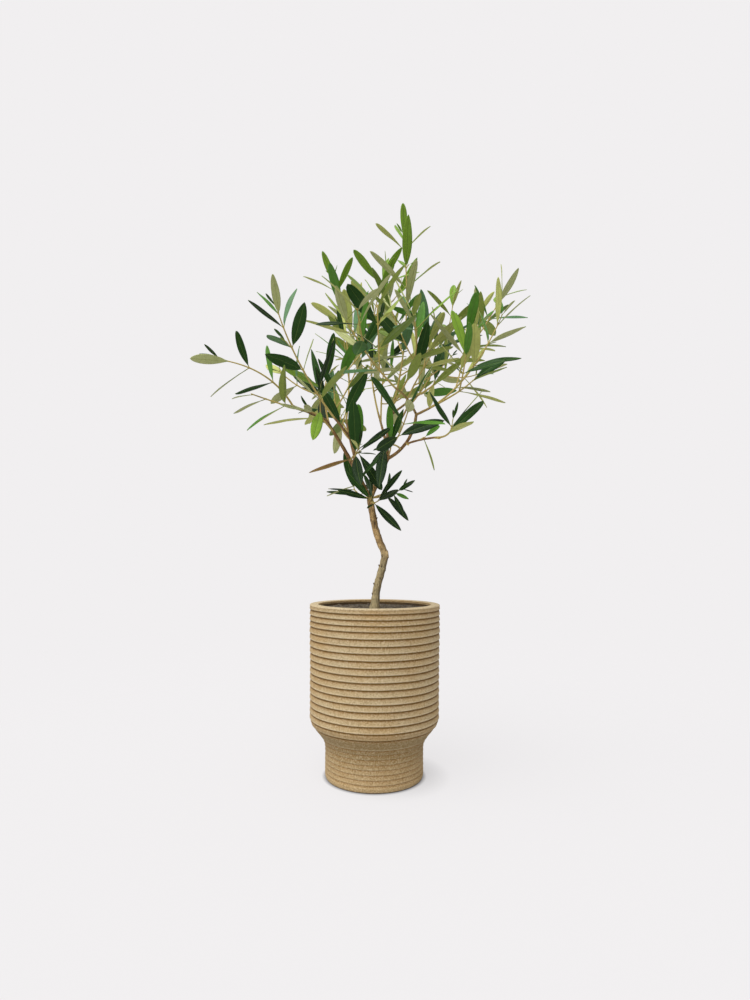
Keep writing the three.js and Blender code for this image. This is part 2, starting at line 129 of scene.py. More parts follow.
# The growing rule, in millimetres, radians and shares of a length.
PAIR_SPACING = 31
CROWDING = 1.25
LEAF_LENGTH = 67
LENGTH_RANGE = (0.76, 1.2)
SLIMNESS_RANGE = (0.16, 0.27)
STALK_SHARE = 0.07
ROOT_DEPTH = 0.5
END_LEAF_SHARE = 0.85
END_ROOT = 0.98
SPREAD = (0.72, 1.05)
END_SPREAD = (0.32, 0.75)
LIFT = 0.42
ROLL = 0.55
ARCH = 0.07
TURN_RANGE = 0.5
STEM_RADIUS = 1.3
TWIG_LENGTH = (44, 78)
TWIG_SPREAD = 0.75
TWIG_RISE = 0.14
TWIG_RADIUS = 0.95
TWIG_TIP = 0.7
TURNS = (0, 0.5, -0.5)  # what a leaf is turned by until it has room
CLEARANCE = 0.6
LEAF_ROOM = 0.18  # the radius of a leaf's lines as a share of its width
UP = np.array((0.0, 0.0, 1.0))


def mix(low, high, share):
    return low + (high - low) * share


def clamp(value):
    return min(1, max(0, value))


def smooth(share):
    share = clamp(share)
    return share * share * (3 - 2 * share)


def unit(vector):
    return vector / math.sqrt(vector @ vector)


REFERENCE = unit(np.array((0.37, 0.89, -0.26)))


class Course:
    """A course that wood grows along, from share 0 to share 1."""

    def tangent(self, share, step=1e-4):
        return unit(self.point(min(1, share + step)) - self.point(max(0, share - step)))

    def length(self, chords=200):
        points = [self.point(i / chords) for i in range(chords + 1)]
        return sum(math.dist(a, b) for a, b in zip(points, points[1:]))


class Bend(Course):
    """The quadratic curve from a foot to a tip that passes a point half way."""

    def __init__(self, foot, via, tip):
        self.foot = foot
        self.control = 2 * np.array(via, float) - 0.5 * foot - 0.5 * np.array(tip, float)
        self.tip = np.array(tip, float)

    def point(self, share):
        rest = 1 - share
        return rest * rest * self.foot + 2 * rest * share * self.control + share * share * self.tip


class Spline(Course):
    """A smooth curve through all of its points."""

    def __init__(self, points):
        inner = [np.array(point, float) for point in points]
        self.points = [2 * inner[0] - inner[1], *inner, 2 * inner[-1] - inner[-2]]

    def point(self, share):
        place = share * (len(self.points) - 3)
        index = min(int(place), len(self.points) - 4)
        before, start, end, after = self.points[index : index + 4]
        t = place - index
        leave = (end - before) / 2
        reach = (after - start) / 2
        square = 3 * (end - start) - 2 * leave - reach
        return start + leave * t + square * t * t + (2 * (start - end) + leave + reach) * t**3


class Limb:
    """The trunk or a bough: its course, and its radius a share of the way along."""

    def __init__(self, course, radius):
        self.course = course
        self.radius = radius

    def foot_at(self, share):
        """Where what it bears is rooted: at its end that is sunk in by its radius."""
        if share < 1:
            return self.course.point(share)
        return self.course.point(1) - self.course.tangent(1) * self.radius(1)


class Twig:
    """A stem or side twig: its course, its radius at foot and end, and the nodes that bear its leaves."""

    def __init__(self, course, foot, end, owner):
        self.course = course
        self.foot = foot
        self.end = end
        self.owner = owner
        self.nodes = []


class Leaf:
    """A leaf's place: its root, the ways that it points and faces, its length and its width."""

    def __init__(self, root, along, face, length, width):
        self.root = root
        self.along = along
        self.face = face
        self.length = length
        self.width = width
        self.across = np.cross(face, along)

    def point(self, share):
        arch = ARCH * self.length * share * share
        return self.root + self.along * (self.length * share) - self.face * arch


def trunk_radius(share):
    height = share * (TRUNK_BENDS[-1][2] - SOIL_LEVEL)
    return mix(TRUNK_FOOT, TRUNK_TIP, share) + FLARE * max(0, 1 - height / FLARE_HEIGHT) ** 2


def tapering(foot, end):
    return lambda share: mix(foot, end, share)


def grow_limbs():
    limbs = {"trunk": Limb(Spline(TRUNK_BENDS), trunk_radius)}
    for name, (on, at, via, tip, foot, end) in BOUGHS.items():
        limbs[name] = Limb(Bend(limbs[on].foot_at(at), via, tip), tapering(foot, end))
    return limbs


def seeded_draws(seed):
    """A function that gives numbers from 0 to 1, the same ones at every run."""
    state = seed * 7919

    def draw():
        nonlocal state
        state = (state * 1664525 + 1013904223) & 0xFFFFFFFF
        return state / 4294967296

    return draw


class Space:
    """The room that is already taken, as middle lines with a radius and an owner."""

    def __init__(self):
        self.lines = np.empty((0, 7))
        self.owners = []

    def take(self, lines, owner):
        self.lines = np.vstack([self.lines, lines])
        self.owners += [owner] * len(lines)

    def is_free(self, lines, ignored):
        kept = self.lines[[owner not in ignored for owner in self.owners]]
        return all(is_clear(np.array(line), kept) for line in lines)


def is_clear(line, others):
    """Whether a line is clear of all the others, by its own and their radii and a little more."""
    u = line[3:6] - line[:3]
    v = others[:, 3:6] - others[:, :3]
    w = line[:3] - others[:, :3]
    uu, uw = u @ u, w @ u
    uv, vv, vw = v @ u, (v * v).sum(1), (v * w).sum(1)
    cross = uu * vv - uv * uv
    s = np.where(cross > 1e-9, np.clip((uv * vw - vv * uw) / np.where(cross > 1e-9, cross, 1), 0, 1), 0)
    t = np.clip((uv * s + vw) / vv, 0, 1)
    s = np.clip((uv * t - uw) / uu, 0, 1)
    gaps = w + s[:, None] * u - t[:, None] * v
    return bool(np.all(np.sqrt((gaps * gaps).sum(1)) >= line[6] + others[:, 6] + CLEARANCE))


def lines_along(course, radius, count):
    points = [course.point(i / count) for i in range(count + 1)]
    return [(*points[i], *points[i + 1], radius((i + 0.5) / count)) for i in range(count)]


def leaf_lines(leaf):
    """The room that a leaf needs: lines along its middle and beside both of its edges."""
    parts = ((0.1, 0.5, 0), (0.5, 1, 0), (0.22, 0.78, 0.3), (0.22, 0.78, -0.3))
    lines = []
    for start, end, aside in parts:
        shift = leaf.across * (leaf.width * aside)
        lines.append((*(leaf.point(start) + shift), *(leaf.point(end) + shift), leaf.width * LEAF_ROOM))
    return lines


def leaning(along, turn, spread):
    """The way that leans from "along" by "spread", towards the bearing "turn" about it."""
    side = unit(np.cross(along, REFERENCE))
    front = np.cross(side, along)
    out = side * math.cos(turn) + front * math.sin(turn)
    return unit(along * math.cos(spread) + out * math.sin(spread))


def make_leaf(root, stem_along, turn, spread, length, slimness, roll):
    along = leaning(stem_along, turn, spread)
    face = stem_along * (1 - LIFT) + UP * LIFT
    face = unit(face - along * (face @ along))
    face = face * math.cos(roll) + np.cross(along, face) * math.sin(roll)
    return Leaf(root, along, face, length, length * slimness)


class Mass:
    """A mass of foliage: its twigs, the leaves of the rule and the small leaves of its young shoots."""

    def __init__(self, stem):
        self.twigs = [stem]
        self.leaves = []
        self.young = []


def grow_pairs(mass, twig, size, twigs, draw, space):
    """Grows a twig's pairs of leaves, and some side twigs in the place of leaves."""
    pairs = max(2, math.floor(twig.course.length() / PAIR_SPACING + 0.5))
    start = draw() * 2 * math.pi
    for i in range(pairs):
        last = i == pairs - 1
        share = 1 if last else 1 - (1 - (i + 1) / pairs) ** CROWDING
        root = twig.course.point(END_ROOT if last else share)
        stem_along = twig.course.tangent(share)
        owner = f"{twig.owner}/{i}"
        twig.nodes.append((share, stem_along, start + i * math.pi / 2, owner))
        for half in (0, math.pi):
            turn = start + i * math.pi / 2 + half + (draw() - 0.5) * TURN_RANGE
            spread = mix(*(END_SPREAD if last else SPREAD), draw())
            length = LEAF_LENGTH * size * mix(*LENGTH_RANGE, draw()) * (END_LEAF_SHARE if last else 1)
            slimness = mix(*SLIMNESS_RANGE, draw())
            roll = (draw() - 0.5) * 2 * ROLL
            branches = draw() < twigs * 2 * (1 - share) and not last
            side_owner = f"{owner}/{'b' if half else 'a'}"
            if branches and grow_side_twig(mass, twig, root, stem_along, turn, side_owner, draw, space):
                continue
            for nudge in TURNS:
                leaf = make_leaf(root, stem_along, turn + nudge, spread, length, slimness, roll)
                if space.is_free(leaf_lines(leaf), (twig.owner, owner)):
                    mass.leaves.append(leaf)
                    space.take(leaf_lines(leaf), owner)
                    break


def grow_side_twig(mass, twig, root, stem_along, turn, owner, draw, space):
    """Grows a side twig, and returns False if it has no room."""
    length = mix(*TWIG_LENGTH, draw())
    along = leaning(stem_along, turn, TWIG_SPREAD)
    tip = root + along * length + UP * (length * TWIG_RISE)
    side = Twig(Bend(root, root + along * (length / 2), tip), TWIG_RADIUS, TWIG_TIP, owner)
    lines = lines_along(side.course, lambda share: TWIG_RADIUS, 4)
    if not space.is_free(lines, (twig.owner,)):
        return False
    mass.twigs.append(side)
    space.take(lines, owner)
    grow_pairs(mass, side, 1, 0, draw, space)
    return True


def grow_foliage(limbs):
    space = Space()
    for name, limb in limbs.items():
        space.take(lines_along(limb.course, limb.radius, 12), f"{name} limb")
    masses = {}
    for name, (on, at, via, tip, _, _, _) in FOLIAGE.items():
        foot = min(STEM_RADIUS, limbs[on].radius(at))
        stem = Twig(Bend(limbs[on].foot_at(at), via, tip), foot, TWIG_TIP, name)
        masses[name] = Mass(stem)
        space.take(lines_along(stem.course, lambda share: stem.foot, 6), name)
    for name, (_, _, _, _, size, twigs, seed) in FOLIAGE.items():
        grow_pairs(masses[name], masses[name].twigs[0], size, twigs, seeded_draws(seed), space)
    return masses, space


# How finely each thing is made, in millimetres and counts.
WOOD_STEP = 1.2
WOOD_VOXEL = 0.56
TRUNK_SIDES = 30
BOUGH_SIDES = 18
TWIG_STEP = 2.2
TWIG_SIDES = 8
BUD_SIDES = 6
POT_SIDES = 192

# The thickness of a bud from its foot to its tip, as shares of its radius.
BUD_SIZES = (0.7, 1, 0.85, 0.45, 0.08)


class Shape:
    """Points in millimetres, each with a mark, and faces, each with its material, for one mesh."""

    def __init__(self):
        self.points = []
        self.faces = []
        self.kinds = []
        self.marks = []

    def add_ring(self, points, mark=0.0):
        """Adds points and returns the number of the first."""
        first = len(self.points)
        self.points += [tuple(point) for point in points]
        self.marks += [mark] * (len(self.points) - first)
        return first

    def add_face(self, corners, kind):
        self.faces.append(tuple(corners))
        self.kinds.append(kind)

    def skin(self, firsts, count, kind_of=lambda row, i: 0):
        """Joins rings of the same count by faces, and closes both ends."""
        for row, (low, high) in enumerate(zip(firsts, firsts[1:])):
            for i in range(count):
                j = (i + 1) % count
                self.add_face((low + i, low + j, high + j, high + i), kind_of(row, i))
        self.add_face(range(firsts[0] + count - 1, firsts[0] - 1, -1), kind_of(0, 0))
        self.add_face(range(firsts[-1], firsts[-1] + count), kind_of(len(firsts) - 2, 0))

    def to_mesh(self, name, mark_name=None):
        mesh = bpy.data.meshes.new(name)
        mesh.from_pydata([(x * MM, y * MM, z * MM) for x, y, z in self.points], [], self.faces)
        mesh.polygons.foreach_set("material_index", self.kinds)
        mesh.polygons.foreach_set("use_smooth", [True] * len(self.faces))
        if mark_name:
            mark = mesh.attributes.new(mark_name, "FLOAT", "POINT")
            mark.data.foreach_set("value", self.marks)
        mesh.update()
        return mesh


def place_piece(name, mesh, materials, nodes):
    """Shows a mesh as a piece that rides on the plant's body and stands for nodes of the frame."""
    piece = bpy.data.objects.new(name, mesh)
    bpy.context.scene.collection.objects.link(piece)
    for material in materials:
        mesh.materials.append(material)
    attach(piece, BODY)
    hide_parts(*nodes)


def frames_along(points):
    """The way along, to one side and to the front at each point of a course, without sudden turns."""
    last = len(points) - 1
    side = None
    frames = []
    for i in range(last + 1):
        along = unit(points[min(i + 1, last)] - points[max(i - 1, 0)])
        guide = np.cross(along, REFERENCE) if side is None else side
        side = unit(guide - along * (guide @ along))
        frames.append((along, side, np.cross(along, side)))
    return frames


def add_tube(shape, points, radius, sides):
    """A closed tube, whose radius is given by the number of the ring and the bearing about the course."""
    firsts = []
    for ring, (point, (_, side, front)) in enumerate(zip(points, frames_along(points))):
        turns = [2 * math.pi * i / sides for i in range(sides)]
        corners = [point + (side * math.cos(t) + front * math.sin(t)) * radius(ring, t) for t in turns]
        firsts.append(shape.add_ring(corners))
    shape.skin(firsts, sides)


def add_bud(shape, foot, along, length, radius, sides=BUD_SIDES):
    """A small pointed bud."""
    points = [foot + along * (length * i / (len(BUD_SIZES) - 1)) for i in range(len(BUD_SIZES))]
    add_tube(shape, points, lambda ring, turn: BUD_SIZES[ring] * radius, sides)


# Wood, in millimetres, and in shares of a limb's radius.

TRUNK_BELOW = 3
FIRST_NODE = (6, 14)
NODE_SPACING = 21
NODE_STRAY = 4
NODE_REACH = 1.5
NODE_SWELL = 0.09
STREAK_SIZE = 1.7
STREAK_STRETCH = 0.22
GRAIN_FINENESS = 2.9
GRAIN_SHARE = 0.45
END_ROUND = 2.5
END_NARROWING = 0.22

# The stub of a pruned branch, with the callus that swells round its cut.
STUB_FOOT = np.array((9.0, -3.0, 324.5))
STUB_END = np.array((19.8, -3.6, 326.0))
STUB_RADIUS = 5.2
STUB_RINGS = 8
CALLUS = 0.12

# The height of each bud up the trunk, and whether it is on the left (-1) or the right.
TRUNK_BUDS = ((264, -1), (279, -1), (306, -1), (341, -1), (373, -1), (376, 1))
TRUNK_BUD_LENGTH = 4.6
TRUNK_BUD_RADIUS = 1.9
TRUNK_BUD_SIDES = 12
TRUNK_BUD_FRONT = -0.35
TRUNK_BUD_UP = 0.8


def bark_radius(limb, points, length, depth, seed):
    """The radius of a limb with its streaks, its swollen nodes and a rounded end."""
    draw = random.Random(seed)
    nodes = np.arange(draw.uniform(*FIRST_NODE), length, NODE_SPACING)
    nodes = nodes + np.array([draw.uniform(-NODE_STRAY, NODE_STRAY) for _ in nodes])
    leans = [draw.uniform(0, 2 * math.pi) for _ in nodes]
    last = len(points) - 1

    def radius(ring, turn):
        share = ring / last
        along = share * length
        plain = limb.radius(share)
        place = Vector((math.cos(turn) * plain, math.sin(turn) * plain, along * STREAK_STRETCH)) / STREAK_SIZE
        streak = noise.noise(place + Vector((seed * 3.7, 0, 0)))
        grain = noise.noise(place * GRAIN_FINENESS + Vector((0, seed * 5.1, 0)))
        swell = 0
        for node, lean in zip(nodes, leans):
            swell += math.exp(-(((along - node) / NODE_REACH) ** 2)) * (0.6 + 0.4 * math.cos(turn - lean))
        shoulder = 1 - END_NARROWING * smooth((along - length + END_ROUND) / END_ROUND)
        relief = depth * (streak + GRAIN_SHARE * grain) + NODE_SWELL * swell
        return plain * shoulder * (1 + relief)

    return radius


def wood_points(course, length, below=0):
    """Points along a course of wood, from as far below its foot as is asked."""
    rings = max(4, round(length / WOOD_STEP))
    points = [course.point(i / rings) for i in range(rings + 1)]
    if below:
        points.insert(0, points[0] - UP * below)
    return points


def trunk_place(course, height):
    """The share of the trunk's course that lies at a height."""
    shares = [i / 400 for i in range(401)]
    return min(shares, key=lambda share: abs(course.point(share)[2] - height))


def build_buds(limbs):
    """The dormant buds up the trunk, in their dark scales."""
    shape = Shape()
    trunk = limbs["trunk"]
    for height, side in TRUNK_BUDS:
        share = trunk_place(trunk.course, height)
        out = unit(np.array((side, TRUNK_BUD_FRONT, TRUNK_BUD_UP)))
        foot = trunk.course.point(share) + out * (trunk.radius(share) - TRUNK_BUD_RADIUS)
        add_bud(shape, foot, out, TRUNK_BUD_LENGTH, TRUNK_BUD_RADIUS, TRUNK_BUD_SIDES)
    return shape


def stub_radius(ring, turn):
    """The radius of the stub, which the callus widens over its outer end."""
    return STUB_RADIUS * (1 + CALLUS * smooth(ring / STUB_RINGS * 3 - 1.8))


def build_wood(limbs, depth):
    """The trunk and boughs as one skin: tubes with their relief, melted together where they meet."""
    shape = Shape()
    for seed, (name, limb) in enumerate(limbs.items()):
        length = limb.course.length()
        points = wood_points(limb.course, length, TRUNK_BELOW if name == "trunk" else 0)
        sides = TRUNK_SIDES if name == "trunk" else BOUGH_SIDES
        add_tube(shape, points, bark_radius(limb, points, length, depth, seed + 1), sides)
    stub = [STUB_FOOT + (STUB_END - STUB_FOOT) * i / STUB_RINGS for i in range(STUB_RINGS + 1)]
    add_tube(shape, stub, stub_radius, BOUGH_SIDES)
    rough = bpy.data.objects.new("rough_wood", shape.to_mesh("rough_wood"))
    bpy.context.scene.collection.objects.link(rough)
    melt = rough.modifiers.new("melt", "REMESH")
    melt.mode = "VOXEL"
    melt.voxel_size = WOOD_VOXEL * MM
    melt.use_smooth_shade = True
    even = rough.modifiers.new("even", "SMOOTH")
    even.factor = 0.5
    even.iterations = 2
    graph = bpy.context.evaluated_depsgraph_get()
    mesh = bpy.data.meshes.new_from_object(rough.evaluated_get(graph))
    mesh.name = "wood"
    bpy.data.objects.remove(rough)
    return mesh


# Twigs and leaves, in millimetres, radians and shares.

TWIG_FULLNESS = 1.15
TWIG_NODE_REACH = 1.3
TWIG_NODE_SWELL = 0.3
TIP_BUD = (3.2, 0.8)  # length, radius
AXIL_BUD = (2.1, 0.6)
BUD_SPREAD = 0.5
BUD_SUNK = 0.4

# A young shoot: the chance of one at a twig's tip and in an axil, its length and radii, and the length, the
# slimness and the spread of its leaves.
TIP_CHANCE = 0.8
AXIL_CHANCE = 0.2
SHOOT_LENGTH = (4, 11)
SHOOT_RADII = (0.65, 0.5)
SHOOT_ROOM = 0.6
SHOOT_SPREAD = 0.6
YOUNG_LENGTH = (12, 27)
YOUNG_SLIMNESS = (0.17, 0.25)
YOUNG_SPREAD = (0.3, 0.65)
YOUNG_TURN = 0.3
YOUNG_ROLL = 0.5
SHOOT_RISE = 0.1

# A leaf's blade: columns from its edge to its rib, rows from its foot to its tip, and what each leaf draws.
BLADE_COLUMNS = (1, 0.82, 0.45)
BLADE_ROWS = 13
BLADE_WIDTH = 0.91  # as a share of the room that the rule gives a leaf
LEAF_THICKNESS = 0.45
LEAST_STALK = 3.2
STALK_MOST = 0.6
STALK_THICKNESS = 0.012  # as a share of the leaf's length
TIP_HALF_WIDTH = 0.25
RIB_WIDTH = 0.45
RIB_SUNK = 0.12
RIB_RAISED = 0.2
BELLY = (0.47, 0.62)
FULLNESS = (1.3, 1.65)
TWIST = 0.45
SWAY = 0.07
FOLD = (0.1, 0.4)
CURL = (0.05, 0.2)
RIPPLE = 0.05
RIPPLE_TURNS = 9  # in radians from foot to tip

# The finishes of a leaf, by number.
DARKEST, DEEP, BLUE, MID, FRESH, OLIVE = range(6)
UPPER_KINDS = 6
UNDER_KINDS = 3
UPPER_RIB = UPPER_KINDS + UNDER_KINDS
UNDER_RIB = UPPER_RIB + 1
STALK = UPPER_RIB + 2
DRY = UPPER_RIB + 3

# How the finishes are dealt: the weight of each deep in the crown and at its tips.
# The darker greens, upper and under, that go deep in the crown are partly the old leaves' colour and partly
# painted shade.
UPPER_WEIGHTS = {
    DARKEST: (5, 0),
    DEEP: (5, 0.6),
    BLUE: (0, 1.8),
    MID: (0.2, 3.6),
    FRESH: (0, 1.2),
    OLIVE: (0, 2.2),
}
UNDER_WEIGHTS = ((0.4, 1.5), (0.8, 1), (1.8, 0.6))

# A leaf over this height is one of the newest. How far out another is goes by its height over the crown's
# foot, which counts this much, and by its distance from the middle.
NEWEST_FROM = 775
CROWN_FOOT = 500
CROWN_REACH = 220
HEIGHT_COUNTS = 0.75

# The light is outwards from a line this far behind the trunk, and also up for a leaf over a height. The
# chances that a leaf turns over, deep in the crown and at its tips: when it faces away from the light, and
# when it faces the light.
TURN_DEPTH = 120
TURN_RISE = 0.35
TURN_RISE_FROM = 420
TURNS_TO_LIGHT = (1, 0.6)
TURNS_FROM_LIGHT = (0, 0.25)

LEAF_SEED = 5
PLACED_SHOOT_RADII = (1.1, 0.8)
PLACED_SHOOT_ROOM = 1
PLACED_NODE_TURN = 0.6

# Short shoots on the fork and the low boughs, finer than the masses. Each has the limb that it stands on, its
# foot, the point that it passes half way and its tip, and then its leaves: where on the shoot each is rooted,
# its tip, its width, its upper finish and the way that its upper side faces.
FRONT = (-0.25, -1, 0.3)
BACK = (0.2, 1, -0.1)
SKY = (0.1, 0.25, 1)
SHOOTS = {
    "collar": ("trunk", (-8, 1, 404), (-7.5, -4, 405), (-6.5, -8, 407), (
        (0.8, (-52, -25, 421), 11, DARKEST, FRONT),
        (1, (36, -35, 410), 11.5, DEEP, FRONT),
        (1, (26, -31, 369), 13, DARKEST, FRONT),
        (0.9, (-41, -22, 446), 11, DEEP, FRONT),
        (0.9, (-8, -17, 440), 8, DARKEST, FRONT),
    )),
    "fork_right": ("trunk", (-4, 1, 409), (10, -14, 413), (27, -27, 414), (
        (0.65, (34, -31, 449), 13, OLIVE, BACK),
        (1, (69, -45, 421), 11.5, DEEP, FRONT),
        (1, (47, -42, 405), 6, MID, FRONT),
        (0.95, (43, -31, 379), 9, DARKEST, FRONT),
    )),
    "left_arm": ("left", (-19, -7, 430), (-21, -8, 429), (-23, -9, 428), (
        (1, (-72, -12, 414), 5, OLIVE, SKY),
    )),
    "rosette": ("left", (-36, -18, 461), (-31, -28, 467), (-23, -35, 471), (
        (0.2, (-93, -37, 440), 8, DRY, FRONT),
        (0.85, (-90, -62, 476), 10, MID, FRONT),
        (1, (15, -42, 473), 7, MID, FRONT),
        (1, (-30, -53, 534), 19, MID, FRONT),
        (0.9, (10, -47, 417), 15.5, DARKEST, FRONT),
        (1, (18, -43, 507), 10, DARKEST, FRONT),
    )),
    "right_arm": ("right", (20, 9, 474), (22, 0, 481), (23, -8, 489), (
        (1, (17, -30, 540), 12, MID, FRONT),
        (1, (38, -27, 535), 11, DEEP, FRONT),
        (0.8, (-5, -14, 462), 7, DARKEST, FRONT),
    )),
    "low_right": ("right_low", (64, -33, 489), (66, -36, 490), (69, -39, 491), (
        (1, (88, -52, 506), 9, MID, FRONT),
        (0.8, (87, -37, 446), 5, DEEP, SKY),
    )),
    "low_tip": ("right_low", (82, -51, 488), (85, -54, 487), (88, -57, 486), (
        (1, (115, -66, 482), 6, OLIVE, SKY),
    )),
    "low_root": ("right_low", (45, -20, 486), (46, -23, 484), (47, -26, 483), (
        (1, (80, -45, 473), 8, DARKEST, FRONT),
    )),
}


def grow_young(mass, space, draw):
    """Carries a mass on to finer shoots: short ones at its tips and in some axils, with small leaves."""
    for twig in list(mass.twigs):
        share, along, turn, owner = twig.nodes[-1]
        shoots = [(twig.course.point(1), along, turn + math.pi / 2, owner, TIP_CHANCE)]
        for share, along, turn, owner in twig.nodes[:-1]:
            side = turn + draw.choice((0.5, 1.5)) * math.pi
            way = leaning(along, side, SHOOT_SPREAD)
            shoots.append((twig.course.point(share), way, side, owner, AXIL_CHANCE))
        for root, along, turn, owner, chance in shoots:
            if draw.random() > chance:
                continue
            length = draw.uniform(*SHOOT_LENGTH)
            tip = root + along * length + UP * (length * SHOOT_RISE)
            shoot = Twig(Bend(root, root + along * (length / 2), tip), *SHOOT_RADII, f"{owner}/shoot")
            lines = lines_along(shoot.course, lambda share: SHOOT_ROOM, 1)
            if not space.is_free(lines, (twig.owner, owner)):
                continue
            mass.twigs.append(shoot)
            shoot.nodes.append((1, along, turn, shoot.owner))
            space.take(lines, shoot.owner)
            for half in (0, math.pi):
                leaf = make_leaf(
                    tip,
                    along,
                    turn + half + draw.uniform(-YOUNG_TURN, YOUNG_TURN),
                    draw.uniform(*YOUNG_SPREAD),
                    draw.uniform(*YOUNG_LENGTH),
                    draw.uniform(*YOUNG_SLIMNESS),
                    draw.uniform(-YOUNG_ROLL, YOUNG_ROLL),
                )
                if space.is_free(leaf_lines(leaf), (shoot.owner, owner, twig.owner)):
                    mass.young.append(leaf)
                    space.take(leaf_lines(leaf), shoot.owner)


def add_twig(shape, twig):
    """A twig with swollen nodes, a bud in each axil and a bud at its tip."""
    length = twig.course.length()
    rings = max(3, round(length / TWIG_STEP))
    points = [twig.course.point(i / rings) for i in range(rings + 1)]

    def radius(ring, turn):
        share = ring / rings
        swell = sum(math.exp(-(((share - node[0]) * length / TWIG_NODE_REACH) ** 2)) for node in twig.nodes)
        return mix(twig.foot, twig.end, share) * (TWIG_FULLNESS + TWIG_NODE_SWELL * min(1, swell))

    add_tube(shape, points, radius, TWIG_SIDES)
    add_bud(shape, points[-1] - twig.course.tangent(1) * BUD_SUNK, twig.course.tangent(1), *TIP_BUD)
    for share, along, turn, _ in twig.nodes:
        for half in (0, math.pi):
            out = leaning(along, turn + half, BUD_SPREAD)
            foot = twig.course.point(share) + out * (BUD_SUNK * mix(twig.foot, twig.end, share))
            add_bud(shape, foot, out, *AXIL_BUD)


def add_leaf(shape, leaf, draw, upper, under, turned):
    """A leathery spear-shaped blade on a short stalk, folded and arched a little, with its middle rib."""
    flip = -1 if turned else 1
    belly = draw.uniform(*BELLY)
    fullness = draw.uniform(*FULLNESS)
    twist = draw.uniform(-TWIST, TWIST)
    sway = draw.uniform(-SWAY, SWAY)
    fold = draw.uniform(*FOLD)
    curl = draw.uniform(*CURL)
    wave = draw.uniform(0, 2 * math.pi)
    stalk = max(STALK_SHARE, LEAST_STALK / leaf.length)
    stalk_radius = min(STALK_MOST, STALK_THICKNESS * leaf.length)
    shares = [-ROOT_DEPTH / leaf.length, stalk * 0.55, stalk * 0.95]
    turns = [math.pi * (i + 0.6) / (BLADE_ROWS + 0.4) for i in range(BLADE_ROWS)]
    shares += [mix(stalk, 1, (1 - math.cos(turn)) / 2) for turn in turns]
    firsts = []
    for row, share in enumerate(shares):
        u = clamp((share - stalk) / (1 - stalk))
        outline = (u / belly) ** (fullness * belly) * ((1 - u) / (1 - belly)) ** (fullness * (1 - belly))
        half = max(stalk_radius, leaf.width / 2 * BLADE_WIDTH * outline)
        if row == len(shares) - 1:
            half = TIP_HALF_WIDTH
        # From 0 on the round stalk to 1 on the flat blade.
        flat = smooth((half - stalk_radius) / 1.5)
        spin = twist * smooth(u)
        across = (leaf.across * math.cos(spin) + leaf.face * math.sin(spin)) * flip
        face = (leaf.face * math.cos(spin) - leaf.across * math.sin(spin)) * flip
        ripple = RIPPLE * math.sin(wave + RIPPLE_TURNS * share)
        centre = leaf.point(share) + leaf.across * (sway * leaf.length * share * share)
        thick = mix(stalk_radius, LEAF_THICKNESS / 2, flat)
        ribbing = min(RIB_WIDTH / 2, half * 0.4) / half
        columns = (*BLADE_COLUMNS, ribbing, 0)

        def height(side, lower):
            """How far the upper or lower skin stands off the blade's plane, by the share of the way out."""
            lift = flat * half * (fold * side - curl * side**4 + ripple * side * side)
            depth = thick * math.sqrt(max(0, 1 - side * side)) if flat < 0.5 else thick * (1 - side**6)
            if side <= ribbing:
                lift += -RIB_RAISED * flat if lower else -RIB_SUNK * flat
            return lift + (-depth if lower else depth)

        top = [-c for c in columns] + list(reversed(columns[:-1]))
        low = [*columns[1:], *(-c for c in reversed(columns[1:-1]))]
        corners = [(c, height(abs(c), False)) for c in top] + [(c, height(abs(c), True)) for c in low]
        ring = [centre + across * (side * half) + face * lift for side, lift in corners]
        firsts.append(shape.add_ring(ring))
    per_side = len(BLADE_COLUMNS)
    count = 4 * per_side + 4
    top_last = 2 * per_side + 1
    ribs = (per_side, per_side + 1, count - per_side - 2, count - per_side - 1)

    def kind_of(row, i):
        if row < 2:
            return STALK
        if i <= top_last:
            return UPPER_RIB if i in ribs else upper
        return UNDER_RIB if i in ribs else under

    shape.skin(firsts, count, kind_of)


def how_far_out(leaf):
    """From 0 for a leaf low or deep in the crown to 1 for one at its tips."""
    x, y, z = leaf.point(0.5)
    up = clamp((z - CROWN_FOOT) / CROWN_REACH)
    out = clamp(math.hypot(x, y) / CROWN_REACH)
    return up * HEIGHT_COUNTS + out * (1 - HEIGHT_COUNTS)


def is_turned(leaf, draw):
    """Whether a leaf has twisted on its stalk: most show their upper side outwards and to the front."""
    x, y, z = leaf.point(0.5)
    outward = unit(np.array((x, y - TURN_DEPTH, TURN_RISE * max(0, z - TURN_RISE_FROM))))
    if z > NEWEST_FROM:
        return leaf.face[1] > 0
    chances = TURNS_TO_LIGHT if leaf.face @ outward < 0 else TURNS_FROM_LIGHT
    return draw.random() < mix(*chances, how_far_out(leaf))


def grow_shoots(space):
    """The placed shoots, without the leaves that would touch what has grown already."""
    shoots = []
    leaves = []
    for name, (limb, foot, via, tip, placed) in SHOOTS.items():
        course = Bend(np.array(foot), np.array(via), np.array(tip))
        shoot = Twig(course, *PLACED_SHOOT_RADII, f"shoot_{name}")
        shoot.nodes.append((1, course.tangent(1), PLACED_NODE_TURN, shoot.owner))
        shoots.append(shoot)
        space.take(lines_along(course, lambda share: PLACED_SHOOT_ROOM, 2), shoot.owner)
        for share, end, width, finish, faces in placed:
            root = course.point(share)
            reach = np.array(end) - root
            along = unit(reach)
            face = np.array(faces)
            face = unit(face - along * (face @ along))
            leaf = Leaf(root, along, face, math.sqrt(reach @ reach), width)
            if space.is_free(leaf_lines(leaf), (f"{limb} limb", shoot.owner)):
                space.take(leaf_lines(leaf), shoot.owner)
                leaves.append((leaf, finish))
    return shoots, leaves


